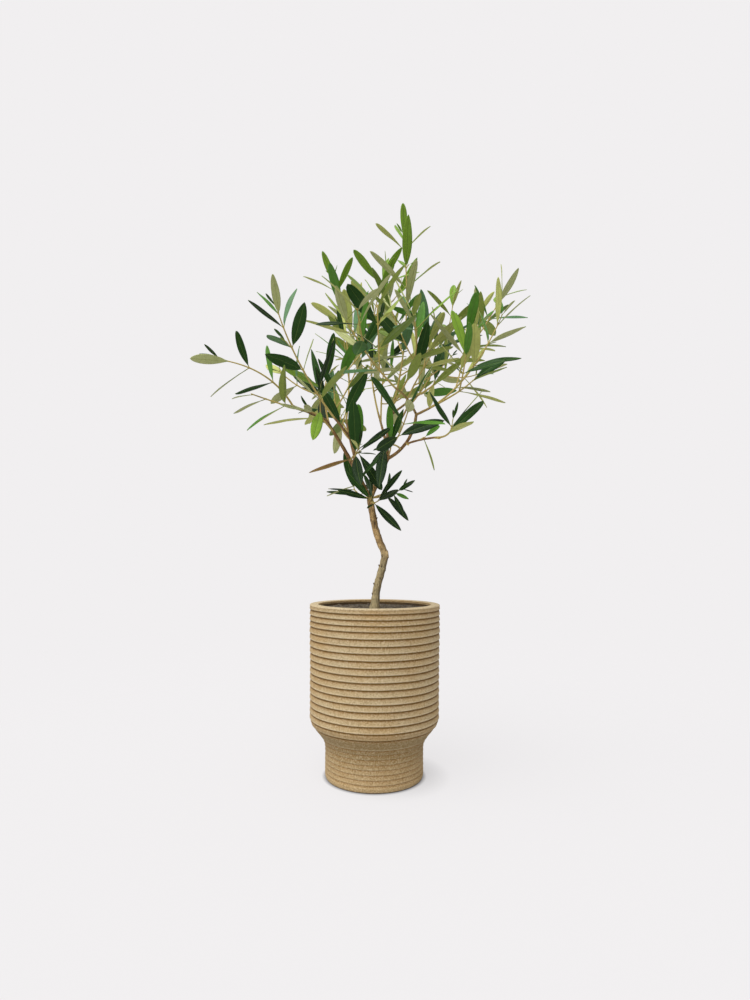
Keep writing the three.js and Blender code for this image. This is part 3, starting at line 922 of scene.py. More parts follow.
def leaf_kinds(leaf, draw):
    """An upper and an under finish: deep greens low in the crown, partly as painted shade, and fresher ones
    at its tips.
    """
    outer = how_far_out(leaf)
    weights = [mix(*ends, outer) for ends in UPPER_WEIGHTS.values()]
    upper = draw.choices(list(UPPER_WEIGHTS), weights)[0]
    if leaf.point(0.5)[2] > NEWEST_FROM:
        upper = FRESH
    under = draw.choices(range(UNDER_KINDS), [mix(*ends, outer) for ends in UNDER_WEIGHTS])[0]
    return upper, UPPER_KINDS + under


# The pot, in millimetres.

BODY_RADIUS = 95
WALL = 13.5
FLOOR = 14
FLOOR_CORNER = 6
MIDDLE = 20  # the radius of the innermost ring
RIM_ROUND = 2

# The marks that the clay's finish takes over the rim's rows: below 0 a painted highlight, above 0 painted
# shade.
RIM_MARKS = (0, -0.08, -0.14, -0.16, -0.16, -0.16, -0.16, -0.16, -0.16)
INNER_RIM_MARKS = (-0.16, -0.16, -0.16, -0.1, 0, 0.2, 0.4, 0.6, 0.7)
FOOT_INSET = 2.2
FOOT_RISE = 8
FOOT_ROWS = 8
# Up to this row the underside and the foot's lowest edge take the painted shadow of where the pot stands.
CONTACT_SHADE_ROWS = 4  # from the middle of the underside
FOOT_RADIUS = 72.4
TOP_FLARE = 0.7
FLARE_FROM = 160
FLARE_OVER = 60
SHOULDER = (40, 88)
SHOULDER_FULLNESS = 1.5
# From this height down, the inside takes the painted shade.
INNER_SHADE_FROM = 249.4
INNER_HEIGHTS = (INNER_SHADE_FROM, 249, 240, 200, 150, 110, 89, 78, 68, 58, 48, 40, FLOOR + FLOOR_CORNER)

# The ribs are narrow at the top of the body and wider below. The foot has its own.
TOP_GROOVE = 245.4
NARROW_RIB = 7.9
NARROW_RIBS = 3
WIDE_RIB = 9.63
WIDE_RIBS = 15
BODY_GROOVES = [TOP_GROOVE - NARROW_RIB * i for i in range(NARROW_RIBS + 1)]
BODY_GROOVES += [TOP_GROOVE - NARROW_RIB * NARROW_RIBS - WIDE_RIB * i for i in range(1, WIDE_RIBS + 1)]
TOP_FOOT_GROOVE = 59.3
FOOT_RIB = 6.99
FOOT_GROOVES = [TOP_FOOT_GROOVE - FOOT_RIB * i for i in range(8)]
FOOT_GROOVE_DEPTH = 0.62
THIN_GROOVES = ((250.6, 0.28), (82.3, 0.3))  # height, depth as a share

# How a thrown wall strays. The straying comes in over a run up from the foot, and the rim stays level. Then
# the sizes of its waves round the pot and up it, and how much each kind counts.
RUN_IN = 9
LEVEL_RIM = 6
SWAY_ROUND, SWAY_UP = 2.1, 23
SWAY_COUNTS = 0.9
PUSH_ROUND, PUSH_UP = 3.3, 9
CHATTER_ROUND, CHATTER_UP = 9, 0.9
CHATTER_COUNTS = 0.35

# The rows up the wall are at most and at least this far apart.
PROFILE_STEP = 1.6
LEAST_STEP = 0.14

# The turned section about a groove: heights from it and how far each lies in from the plain wall. The wall
# leans out down to a lip above the next groove.
GROOVE_DEEPEST = 1.6
GROOVE_SECTION = (
    (-6.6, 0),
    (-5, 0.2),
    (-3.4, 0.5),
    (-2.2, 0.88),
    (-1.3, 1.22),
    (-0.5, 1.5),
    (0, GROOVE_DEEPEST),
    (0.4, 1.35),
    (0.7, 0.7),
    (1, 0.1),
    (1.5, -0.25),
    (2.2, -0.2),
    (3.2, 0),
)


def groove_inset(height):
    """How far a groove's section lies in at a height from its middle."""
    heights, insets = zip(*GROOVE_SECTION)
    return float(np.interp(height, heights, insets, 0, 0))


def wall_radius(z, body_radius):
    """The radius of the outside at a height, as it was before the grooves were turned."""
    share = smooth((z - SHOULDER[0]) / (SHOULDER[1] - SHOULDER[0])) ** SHOULDER_FULLNESS
    return mix(FOOT_RADIUS, body_radius, share) + TOP_FLARE * smooth((z - FLARE_FROM) / FLARE_OVER)


def pot_heights(top):
    """Heights up the outside, closer together in the grooves."""
    heights = set(np.arange(FOOT_RISE, top - RIM_ROUND, PROFILE_STEP))
    for groove in (*BODY_GROOVES, *FOOT_GROOVES, *(height for height, _ in THIN_GROOVES)):
        heights |= {groove + dz for dz, _ in GROOVE_SECTION if FOOT_RISE < groove + dz < top - RIM_ROUND}
    kept = []
    for z in sorted(heights):
        if not kept or z - kept[-1] > LEAST_STEP:
            kept.append(z)
    return kept


def pot_section(height, radius, depth):
    """The pot's section from the middle of its underside to the middle of its floor.

    Each point has its radius, its height and how deep in a groove it is. The row where the painted shade of
    the inside starts comes with it.
    """
    section = [(MIDDLE, 0, 0), (FOOT_RADIUS - FOOT_INSET - 1, 0, 0)]
    for i in range(FOOT_ROWS + 1):
        turn = math.pi / 2 * i / FOOT_ROWS
        reach = FOOT_RADIUS - FOOT_INSET * (1 - math.sin(turn))
        section.append((reach, FOOT_RISE * (1 - math.cos(turn)), 0))
    grooves = [(groove, 1) for groove in BODY_GROOVES]
    grooves += [(groove, FOOT_GROOVE_DEPTH) for groove in FOOT_GROOVES]
    grooves += THIN_GROOVES
    for z in pot_heights(height):
        inset = sum(groove_inset(z - groove) * share for groove, share in grooves)
        section.append((wall_radius(z, radius) - inset * depth, z, inset / GROOVE_DEEPEST))
    outer = wall_radius(height, radius)
    inner = outer - WALL
    for i, mark in enumerate(RIM_MARKS):
        turn = math.pi / 2 * i / (len(RIM_MARKS) - 1)
        reach = outer - RIM_ROUND * (1 - math.cos(turn))
        section.append((reach, height - RIM_ROUND * (1 - math.sin(turn)), mark))
    for i, mark in enumerate(INNER_RIM_MARKS):
        turn = math.pi / 2 * i / (len(INNER_RIM_MARKS) - 1)
        reach = inner + RIM_ROUND * (1 - math.sin(turn))
        section.append((reach, height - RIM_ROUND * (1 - math.cos(turn)), mark))
    inner_shade_row = len(section)
    section += [(wall_radius(z, radius) - WALL, z, 0) for z in INNER_HEIGHTS]
    section += [(wall_radius(FLOOR, radius) - WALL - FLOOR_CORNER, FLOOR, 0), (MIDDLE, FLOOR, 0)]
    return section, inner_shade_row


def build_pot(height, radius, depth, unevenness):
    """A pot thrown on the wheel: grooves turned round its body and foot, a rounded rim and a thick wall."""
    section, inner_shade_row = pot_section(height, radius, depth)
    shape = Shape()
    firsts = []
    for radius_here, z, recess in section:
        ring = []
        for i in range(POT_SIDES):
            turn = 2 * math.pi * i / POT_SIDES
            way = Vector((math.cos(turn), math.sin(turn), 0))
            rough = smooth(z / RUN_IN)
            sway = noise.noise(way * SWAY_ROUND + Vector((0, 0, z / SWAY_UP)))
            lift = 0 if z > height - LEVEL_RIM else sway * SWAY_COUNTS * unevenness * rough
            push = noise.noise(way * PUSH_ROUND + Vector((7, 0, z / PUSH_UP))) * unevenness * rough
            chatter = noise.noise(Vector((turn * CHATTER_ROUND, 3, z * CHATTER_UP)))
            reach = radius_here + push + chatter * CHATTER_COUNTS * unevenness * recess
            ring.append((way.x * reach, way.y * reach, z + lift))
        firsts.append(shape.add_ring(ring, recess))
    # The inside below the rim and the lowest rows of the underside and foot take the second finish: painted
    # shade inside the pot and a painted contact shadow where it stands.
    shape.skin(firsts, POT_SIDES, lambda row, i: int(row >= inner_shade_row or row <= CONTACT_SHADE_ROWS))
    return shape


# The potting mix, in millimetres.

MIX_LEVEL = SOIL_LEVEL - 0.4
MIX_HEIGHTS = (FLOOR + FLOOR_CORNER + 1, 44, 55, 66, 78, 89, 160)
MIX_MIDDLE = 6
MIX_RINGS = 60
MIX_SIDES = 150
LUMPS = ((17, 1.1), (6, 0.8), (2.3, 0.45))  # size across, height
CHIP_SEED = 11
CHIP_SIZES = (2, 8, 3)  # least, most and usual
CHIP_CORNERS = 7
CHIP_CORNER = (0.7, 1.1)
CHIP_BREADTH = (0.2, 0.42)
CHIP_THICKNESS = (0.07, 0.16)
CHIP_SLANT = 0.5
CHIP_LEVELS = ((-1, 0.75), (0, 1), (1, 0.8))
CHIP_LIFT = 0.04
CHIPS_INSET = 7


def mix_height(x, y, roughness):
    """The height of the lumpy top of the potting mix at a place."""
    place = Vector((x, y, 0))
    (broad, broad_height), (mid, mid_height), (small, small_height) = LUMPS
    lumps = noise.noise(place / broad) * broad_height
    lumps += noise.noise(place / mid + Vector((5, 0, 0))) * mid_height
    return MIX_LEVEL + (lumps + noise.noise(place / small) * small_height) * roughness


def build_mix(radius, roughness):
    """The filling of the pot, with its lumpy top."""
    shape = Shape()
    firsts = []
    turns = np.linspace(0, 2 * math.pi, MIX_SIDES, False)
    low = FLOOR + GAP
    sections = [(MIX_MIDDLE, low), (wall_radius(FLOOR, BODY_RADIUS) - WALL - FLOOR_CORNER - 1, low)]
    sections += [(wall_radius(z, BODY_RADIUS) - WALL - GAP, z) for z in MIX_HEIGHTS]
    for reach, z in sections:
        ring = [(math.cos(turn) * reach, math.sin(turn) * reach, z) for turn in turns]
        firsts.append(shape.add_ring(ring))
    for i in range(MIX_RINGS):
        reach = mix(radius, 1, i / (MIX_RINGS - 1))
        ring = []
        for turn in turns:
            x, y = math.cos(turn) * reach, math.sin(turn) * reach
            ring.append((x, y, mix_height(x, y, roughness)))
        firsts.append(shape.add_ring(ring))
    shape.skin(firsts, MIX_SIDES)
    return shape


def add_chip(shape, draw, centre, size):
    """A flake of composted bark, broken unevenly and lying at a slant."""
    yaw = draw.uniform(0, 2 * math.pi)
    slant = draw.uniform(-CHIP_SLANT, CHIP_SLANT)
    along = np.array((math.cos(yaw) * math.cos(slant), math.sin(yaw) * math.cos(slant), math.sin(slant)))
    aside = unit(np.cross(UP, along))
    face = np.cross(along, aside)
    half = (size / 2, size * draw.uniform(*CHIP_BREADTH), size * draw.uniform(*CHIP_THICKNESS))
    corners = [draw.uniform(*CHIP_CORNER) for _ in range(CHIP_CORNERS)]
    firsts = []
    for level, reach in CHIP_LEVELS:
        ring = []
        for i, corner in enumerate(corners):
            turn = 2 * math.pi * i / CHIP_CORNERS
            flat = along * (half[0] * math.cos(turn)) + aside * (half[1] * math.sin(turn))
            ring.append(centre + flat * (corner * reach) + face * (half[2] * level))
        firsts.append(shape.add_ring(ring))
    kind = draw.randrange(3)
    shape.skin(firsts, CHIP_CORNERS, lambda row, i: kind)


def scatter_chips(count, radius, roughness):
    """Bark chips strewn over the potting mix, clear of the trunk."""
    draw = random.Random(CHIP_SEED)
    shape = Shape()
    while count:
        turn = draw.uniform(0, 2 * math.pi)
        reach = (radius - CHIPS_INSET) * math.sqrt(draw.random())
        size = draw.triangular(*CHIP_SIZES)
        x, y = math.cos(turn) * reach, math.sin(turn) * reach
        if reach < TRUNK_FOOT + FLARE + size / 2:
            continue
        centre = np.array((x, y, mix_height(x, y, roughness) + size * CHIP_LIFT))
        add_chip(shape, draw, centre, size)
        count -= 1
    return shape


# Materials.

# The sockets of a colour mix.
FACTOR, FIRST, SECOND, RESULT = 0, 6, 7, 2

# The heights in metres where each tone of the pot starts and where it is full.
RIM_STAIN = (0.247, 0.258)
RIM_STAIN_WAVE = 0.014  # how far the edge of the stain strays
WAIST = (0.084, 0.07)
# The waist's tone is strongest up under the shoulder, where it is partly painted shade.
WAIST_SHADE_UP = (0.008, 0.056)  # where the waist's tone comes in, up from the foot
WARM_FOOT = (0.045, 0.01)

# The same for the bark, and the way that its side of painted shade faces.
GREEN_BARK = (0.36, 0.3)
RED_BARK = (0.42, 0.5)
YOUNG_BARK = (0.5, 0.57)
SHADED_SIDE = (0.96, 0.2, -0.2)

# How light and how dark the colour of a leaf or a twig gets over its skin.
SKIN_TONES = (1.25, 0.8)


def linear(code):
    """The linear colour of an sRGB hex code."""
    parts = [int(code[i : i + 2], 16) / 255 for i in (0, 2, 4)]
    return tuple(part / 12.92 if part <= 0.04045 else ((part + 0.055) / 1.055) ** 2.4 for part in parts)


def add_node(tree, kind, inputs=None, **settings):
    """Adds a node with its settings, and sets or links its inputs."""
    node = tree.nodes.new(kind)
    for name, value in settings.items():
        setattr(node, name, value)
    for name, value in (inputs or {}).items():
        if isinstance(value, bpy.types.NodeSocket):
            tree.links.new(value, node.inputs[name])
        else:
            node.inputs[name].default_value = value
    return node


def start_material(name):
    """A material with an empty node tree, and its object's coordinates in metres."""
    material = bpy.data.materials.new(name)
    material.use_nodes = True
    tree = material.node_tree
    tree.nodes.clear()
    return material, tree, add_node(tree, "ShaderNodeTexCoord").outputs["Object"]


def per_mm(size):
    """The scale that gives a pattern features of a size in millimetres, on coordinates in metres."""
    return 1000 / size


def opaque(colour):
    return (*colour, 1)


def lay_colours(tree, colour, layers):
    """A colour with others laid over it in turn.

    Each layer has a value and the two ends of the range over which the value brings it in, then its strength,
    the way that it comes in and its colour.
    """
    for value, (start, full), strength, edge, tone in layers:
        cover = add_node(
            tree,
            "ShaderNodeMapRange",
            {"Value": value, "From Min": start, "From Max": full, "To Max": strength},
            interpolation_type=edge,
        )
        blend = add_node(
            tree,
            "ShaderNodeMix",
            {FACTOR: cover.outputs[0], FIRST: colour, SECOND: opaque(tone)},
            data_type="RGBA",
        )
        colour = blend.outputs[RESULT]
    return colour


def fired_stoneware(settings):
    """Unglazed sandy stoneware, thrown and turned: matt and gritty, with painted shade in the grooves and
    under the shoulder and a painted highlight on the lips.
    """
    material, tree, place = start_material("fired_stoneware")
    height = add_node(tree, "ShaderNodeSeparateXYZ", {"Vector": place}).outputs["Z"]
    recess = add_node(tree, "ShaderNodeAttribute", attribute_name="recess").outputs["Fac"]
    clouds = add_node(tree, "ShaderNodeTexNoise", {"Vector": place, "Scale": per_mm(55), "Detail": 3})
    # Turning marks run round the pot, so their pattern is squeezed in height.
    turned = add_node(tree, "ShaderNodeMapping", {"Vector": place, "Scale": (1, 1, 8)}).outputs[0]
    marks = add_node(tree, "ShaderNodeTexNoise", {"Vector": turned, "Scale": per_mm(30), "Detail": 5})
    wavy = add_node(
        tree,
        "ShaderNodeMath",
        {0: marks.outputs[0], 1: RIM_STAIN_WAVE, 2: height},
        operation="MULTIPLY_ADD",
    )
    # The waist is smoother and greyer than the ribbed body, and darker as painted shade under the shoulder,
    # less so towards the foot's lower edge.
    waist = add_node(
        tree,
        "ShaderNodeMapRange",
        {"Value": height, "From Min": WAIST_SHADE_UP[0], "From Max": WAIST_SHADE_UP[1], "To Max": 0.9},
    )
    # Grit of about 1 mm, in brown specks and pale sand, drawn half as coarse again so that it shows.
    grit = add_node(tree, "ShaderNodeTexNoise", {"Vector": place, "Scale": per_mm(1.7), "Detail": 3})
    # Deep in a groove less of the pale sand is laid, which adds to the painted shade there.
    sand = add_node(
        tree,
        "ShaderNodeMapRange",
        {"Value": recess, "From Min": 0.6, "From Max": 0.95, "To Min": 0.5, "To Max": 0.175},
    )
    # Clay is browner where the wall turns in towards a groove and dark in the groove, partly the cut clay's
    # colour and partly painted shade, and pale on the lip and the rim's top as a painted highlight.
    layers = (
        (clouds.outputs[0], (0.35, 0.65), 1, "LINEAR", settings.clay_warm),
        (marks.outputs[0], (0.52, 0.75), 0.3, "LINEAR", settings.clay_toasted_and_shade),
        (wavy.outputs[0], RIM_STAIN, 0.2, "SMOOTHSTEP", settings.clay_toasted_and_shade),
        (height, WAIST, waist.outputs[0], "SMOOTHSTEP", settings.clay_foot_and_shade),
        (height, WARM_FOOT, 0.8, "LINEAR", settings.clay_warm),
        (recess, (0.1, 0.7), 0.65, "LINEAR", settings.clay_toasted_and_shade),
        (recess, (0.5, 0.95), 1, "LINEAR", settings.clay_groove),
        (recess, (0, -0.15), 0.6, "LINEAR", settings.clay_sand_and_highlight),
        (grit.outputs[0], (0.5, 0.7), 0.5, "LINEAR", settings.clay_groove),
        (grit.outputs[0], (0.5, 0.3), sand.outputs[0], "LINEAR", settings.clay_sand_and_highlight),
    )
    clay = lay_colours(tree, opaque(settings.clay), layers)
    fine = add_node(tree, "ShaderNodeTexNoise", {"Vector": place, "Scale": per_mm(5), "Detail": 4})
    relief = add_node(
        tree,
        "ShaderNodeMath",
        {0: grit.outputs[0], 1: 0.6, 2: fine.outputs[0]},
        operation="MULTIPLY_ADD",
    )
    bump = add_node(
        tree, "ShaderNodeBump", {"Height": relief.outputs[0], "Strength": 0.5, "Distance": 0.5 * MM}
    )
    shader = add_node(
        tree,
        "ShaderNodeBsdfPrincipled",
        {
            "Base Color": clay,
            "Normal": bump.outputs[0],
            "Roughness": 0.85,
            "IOR": 1.5,
            "Specular IOR Level": 0.3,
        },
    )
    add_node(tree, "ShaderNodeOutputMaterial", {"Surface": shader.outputs[0]})
    return material


def crumbly_surface(name, low, high, size, detail, strength, relief, roughness):
    """A matt surface whose two tones and whose relief follow one pattern, sized in millimetres."""
    material, tree, place = start_material(name)
    crumbs = add_node(tree, "ShaderNodeTexNoise", {"Vector": place, "Scale": per_mm(size), "Detail": detail})
    tone = add_node(
        tree,
        "ShaderNodeMix",
        {FACTOR: crumbs.outputs[0], FIRST: opaque(low), SECOND: opaque(high)},
        data_type="RGBA",
    )
    bump = add_node(
        tree, "ShaderNodeBump", {"Height": crumbs.outputs[0], "Strength": strength, "Distance": relief * MM}
    )
    shader = add_node(
        tree,
        "ShaderNodeBsdfPrincipled",
        {"Base Color": tone.outputs[RESULT], "Normal": bump.outputs[0], "Roughness": roughness},
    )
    add_node(tree, "ShaderNodeOutputMaterial", {"Surface": shader.outputs[0]})
    return material


def painted_shade_stoneware(settings):
    """Painted shade on the inside of the pot below the rim and on the foot's lowest edge where it stands:
    matt, with the clay showing in patches.
    """
    return crumbly_surface(
        "painted_shade_stoneware",
        settings.damp,
        settings.clay_groove,
        size=12,
        detail=4,
        strength=0.5,
        relief=0.6,
        roughness=0.8,
    )


def damp_compost(settings):
    """Composted bark and peat, sieved and damp: dark and without any shine.

    The crumbs are about 2 mm wide and are drawn at 4 mm, so that they show.
    """
    return crumbly_surface(
        "damp_compost",
        settings.compost,
        settings.chip_dark,
        size=4,
        detail=5,
        strength=0.9,
        relief=2,
        roughness=0.92,
    )


def bark_chip(name, colour, settings):
    """A flake of composted bark, torn along its fibres: matt and streaky.

    The fibres are about 0.8 mm apart and are drawn at 2 mm, so that they show.
    """
    return crumbly_surface(
        name,
        colour,
        settings.compost,
        size=2,
        detail=4,
        strength=0.8,
        relief=1,
        roughness=0.85,
    )


def young_olive_bark(settings):
    """The smooth bark of a young olive, grown and weathered: tan with grey-green below, fine cracks, and
    painted shade on the side away from the light.
    """
    material, tree, place = start_material("young_olive_bark")
    height = add_node(tree, "ShaderNodeSeparateXYZ", {"Vector": place}).outputs["Z"]
    drawn = add_node(tree, "ShaderNodeMapping", {"Vector": place, "Scale": (1, 1, 0.22)}).outputs[0]
    patches = add_node(tree, "ShaderNodeTexNoise", {"Vector": drawn, "Scale": per_mm(7), "Detail": 4})
    # Old leaf scars ring the bark every few millimetres.
    squeezed = add_node(tree, "ShaderNodeMapping", {"Vector": place, "Scale": (0.2, 0.2, 1)}).outputs[0]
    scars = add_node(tree, "ShaderNodeTexNoise", {"Vector": squeezed, "Scale": per_mm(4.5), "Detail": 3})
    # The side that faces away from the key light is painted darker as shade.
    way = add_node(tree, "ShaderNodeTexCoord").outputs["Normal"]
    damp = add_node(tree, "ShaderNodeVectorMath", {0: way, 1: SHADED_SIDE}, operation="DOT_PRODUCT")
    # Cracks and pores about 1.2 mm apart, drawn half as coarse again so that they show.
    cracks = add_node(tree, "ShaderNodeTexNoise", {"Vector": drawn, "Scale": per_mm(1.8), "Detail": 4})
    # Young wood towards the ends of the boughs is as pale as the twigs.
    layers = (
        (patches.outputs[0], (0.38, 0.62), 1, "LINEAR", settings.bark_dark),
        (scars.outputs[0], (0.5, 0.62), 0.7, "LINEAR", settings.bark_dark),
        (height, GREEN_BARK, 0.65, "SMOOTHSTEP", settings.bark_green),
        (height, RED_BARK, 0.75, "SMOOTHSTEP", settings.bark_red),
        (height, YOUNG_BARK, 0.75, "SMOOTHSTEP", settings.twig),
        (damp.outputs["Value"], (0, 0.8), 0.75, "LINEAR", settings.bark_crack_and_shade),
        (cracks.outputs[0], (0.53, 0.7), 1, "LINEAR", settings.bark_crack_and_shade),
    )
    bump = add_node(
        tree,
        "ShaderNodeBump",
        {"Height": cracks.outputs[0], "Strength": 1, "Distance": 1.1 * MM},
        invert=True,
    )
    shader = add_node(
        tree,
        "ShaderNodeBsdfPrincipled",
        {
            "Base Color": lay_colours(tree, opaque(settings.bark), layers),
            "Normal": bump.outputs[0],
            "Roughness": 0.72,
        },
    )
    add_node(tree, "ShaderNodeOutputMaterial", {"Surface": shader.outputs[0]})
    return material


def grown_surface(name, colour, roughness, grain, relief, sheen=0.0):
    """A finish of one colour, as leaves and shoots are dealt them, with the grain of its skin.

    Cells and hairs are too fine to show, so the grain is the slow waver of the skin, sized in millimetres.
    """
    material, tree, place = start_material(name)
    skin = add_node(tree, "ShaderNodeTexNoise", {"Vector": place, "Scale": per_mm(grain), "Detail": 3})
    bump = add_node(
        tree, "ShaderNodeBump", {"Height": skin.outputs[0], "Strength": 0.4, "Distance": relief * MM}
    )
    light, dark = ([part * tone for part in colour] for tone in SKIN_TONES)
    tone = add_node(
        tree,
        "ShaderNodeMix",
        {FACTOR: skin.outputs[0], FIRST: opaque(light), SECOND: opaque(dark)},
        data_type="RGBA",
    )
    gloss = add_node(
        tree,
        "ShaderNodeMapRange",
        {"Value": skin.outputs[0], "To Min": roughness - 0.06, "To Max": roughness + 0.08},
    )
    shader = add_node(
        tree,
        "ShaderNodeBsdfPrincipled",
        {
            "Base Color": tone.outputs[RESULT],
            "Normal": bump.outputs[0],
            "Roughness": gloss.outputs[0],
            "IOR": 1.45,
            "Specular IOR Level": 0.2,
            "Sheen Weight": sheen,
            "Sheen Roughness": 0.5,
        },
    )
    add_node(tree, "ShaderNodeOutputMaterial", {"Surface": shader.outputs[0]})
    return material


def leaf_finishes(settings):
    """Waxy uppers in six greens and felted undersides in three, their ribs, the stalks and a dry leaf.

    Wax gives an upper side a broad soft shine. Felt leaves an underside matt, with a faint pale sheen. Ribs
    and stalks are smooth, and the dry leaf is dull.
    """
    uppers = (
        settings.leaf_darkest,
        settings.leaf_deep,
        settings.leaf_blue,
        settings.leaf_mid,
        settings.leaf_fresh,
        settings.leaf_olive,
    )
    unders = (settings.under_olive, settings.under_silver, settings.under_green)
    finishes = []
    for i, colour in enumerate(uppers):
        name = f"waxy_leaf_upper_{i + 1}"
        finishes.append(grown_surface(name, colour, roughness=0.45, grain=7, relief=0.25))
    for i, colour in enumerate(unders):
        name = f"felted_leaf_under_{i + 1}"
        finishes.append(grown_surface(name, colour, roughness=0.7, grain=6, relief=0.25, sheen=0.08))
    smooth_parts = (
        ("leaf_rib_upper", settings.rib_upper, 0.45),
        ("leaf_rib_under", settings.rib_under, 0.6),
        ("leaf_stalk", settings.stalk, 0.5),
    )
    for name, colour, roughness in smooth_parts:
        finishes.append(grown_surface(name, colour, roughness, grain=1.5, relief=0.05))
    finishes.append(grown_surface("dry_leaf", settings.dry, roughness=0.7, grain=6, relief=0.3))
    return finishes


# Settings.


def span(name, description, millimetres):
    return FloatProperty(name=name, description=description, default=millimetres * MM, min=0, unit="LENGTH")


def amount(name, description, default):
    return FloatProperty(name=name, description=description, default=default, min=0)


def tint(name, description, code):
    return FloatVectorProperty(
        name=name, description=description, subtype="COLOR", size=3, min=0, max=1, default=linear(code)
    )


class PotSettings(PropertyGroup):
    """Sizes and colours of the pot."""

    height: span("Height", "Height of the pot", POT_HIGH.z / MM)
    radius: span("Radius", "Radius of the ribbed body", POT_HIGH.x / MM)
    groove_depth: amount("Groove depth", "Depth of the grooves as a share", 0.78)
    unevenness: span("Unevenness", "How far the thrown wall strays from round", 0.3)
    clay: tint("Clay", "The sandy body", "bca883")
    clay_warm: tint("Warm clay", "The warmer clouds in the body", "b99d70")
    # Toasted clay and the groove colour also darken the grooves, partly as painted shade, and sand also lays
    # the painted highlight on the lips and the rim's top.
    clay_toasted_and_shade: tint("Toasted clay", "Streaks and the stain below the rim", "9b7442")
    # The waist and foot's own clay, laid strongest under the shoulder, where its darkness is partly painted
    # shade.
    clay_foot_and_shade: tint("Foot clay", "The smoother waist and foot", "937d54")
    clay_groove: tint("Groove", "Grooves and dark specks", "6d5022")
    clay_sand_and_highlight: tint("Sand", "Pale grains of sand", "d8c7a5")
    # The colour of the painted shade inside the pot and on the foot's lowest edge.
    damp: tint("Damp clay", "The inside, stained by the compost", "2d2a27")


class MixSettings(PropertyGroup):
    """Sizes and colours of the potting mix."""

    roughness: amount("Lumpiness", "Height of the lumps as a share", 1)
    chips: IntProperty(name="Chips", description="Number of bark chips", default=900, min=0)
    compost: tint("Compost", "The damp compost", "4a4238")
    chip_dark: tint("Dark chip", "Dark bark chips", "5d5346")
    chip_brown: tint("Brown chip", "Brown bark chips", "75644f")
    chip_pale: tint("Pale chip", "Dry pale chips", "94856f")


class WoodSettings(PropertyGroup):
    """Relief and colours of the trunk, boughs and twigs."""

    relief: amount("Relief", "Depth of the bark's streaks as a share", 0.13)
    bark: tint("Bark", "Tan bark", "d3ae74")
    bark_dark: tint("Dark bark", "Browner patches", "8a683a")
    bark_green: tint("Green bark", "Grey-green bark near the soil", "b0a781")
    bark_red: tint("Upper bark", "Redder bark of the boughs", "8a6538")
    # Cracks and pores, and also the painted shade on the side away from the light.
    bark_crack_and_shade: tint("Cracks", "Cracks and pores", "4a3822")
    bud: tint("Bud", "Scales of the dormant buds", "5d4326")
    twig: tint("Twig", "Twigs", "bda865")
    young_twig: tint("Young twig", "Twigs of this year", "b3a860")


class LeafSettings(PropertyGroup):
    """Colours of the leaves, dealt out leaf by leaf."""

    # The darkest and deep greens and the green underside go mostly deep in the crown, where they are partly
    # painted shade.
    leaf_darkest: tint("Darkest green", "Upper side of shaded leaves", "1f3718")
    leaf_deep: tint("Deep green", "Upper side of old leaves", "2a4d1c")
    leaf_blue: tint("Blue green", "Upper side of bluish leaves", "5b8358")
    leaf_mid: tint("Mid green", "Upper side of leaves of the year", "55882d")
    leaf_fresh: tint("Fresh green", "Upper side of the newest leaves", "7fa236")
    leaf_olive: tint("Olive green", "Upper side of dull leaves", "70863a")
    under_olive: tint("Olive underside", "Pale olive underside", "bfc470")
    under_silver: tint("Silver underside", "Grey-green underside", "b5ba80")
    under_green: tint("Green underside", "Yellow-green underside", "8f9f4a")
    rib_upper: tint("Upper rib", "Middle rib seen from above", "5a7234")
    rib_under: tint("Under rib", "Middle rib seen from below", "949854")
    stalk: tint("Stalk", "Leaf stalks", "b0a85c")
    dry: tint("Dry leaf", "A leaf that has dried on the plant", "8f6d40")


class StageSettings(PropertyGroup):
    """The floor, the lights and the camera."""

    key_strength: amount("Key light", "Strength of the soft main light", 2.85)
    key_size: FloatProperty(
        name="Key size", description="Width of the main light", default=1.1, min=0, subtype="ANGLE"
    )
    fill: amount("Fill", "Strength of the light from all round", 0.54)
    floor_glow: FloatProperty(
        name="Floor glow", description="Share of the floor that shadows spare", default=0.85, min=0, max=1
    )
    backdrop: tint("Backdrop", "The pale background", "f1eff0")
    floor: tint("Floor", "The pale floor", "dad8d9")


class PlantSettings(PropertyGroup):
    """Everything that a user would change."""

    pot: PointerProperty(type=PotSettings)
    mix: PointerProperty(type=MixSettings)
    wood: PointerProperty(type=WoodSettings)
    leaves: PointerProperty(type=LeafSettings)
    stage: PointerProperty(type=StageSettings)


# Making each piece.


class OLIVE_OT_pot(Operator):
    """Makes the ribbed stoneware pot"""

    bl_idname = "olive.pot"
    bl_label = "Pot"

    def execute(self, context):
        settings = context.scene.potted_olive.pot
        shape = build_pot(
            settings.height / MM,
            settings.radius / MM,
            settings.groove_depth,
            settings.unevenness / MM,
        )
        finishes = [fired_stoneware(settings), painted_shade_stoneware(settings)]
        place_piece("stoneware_pot", shape.to_mesh("stoneware_pot", "recess"), finishes, ["pot"])
        return {"FINISHED"}


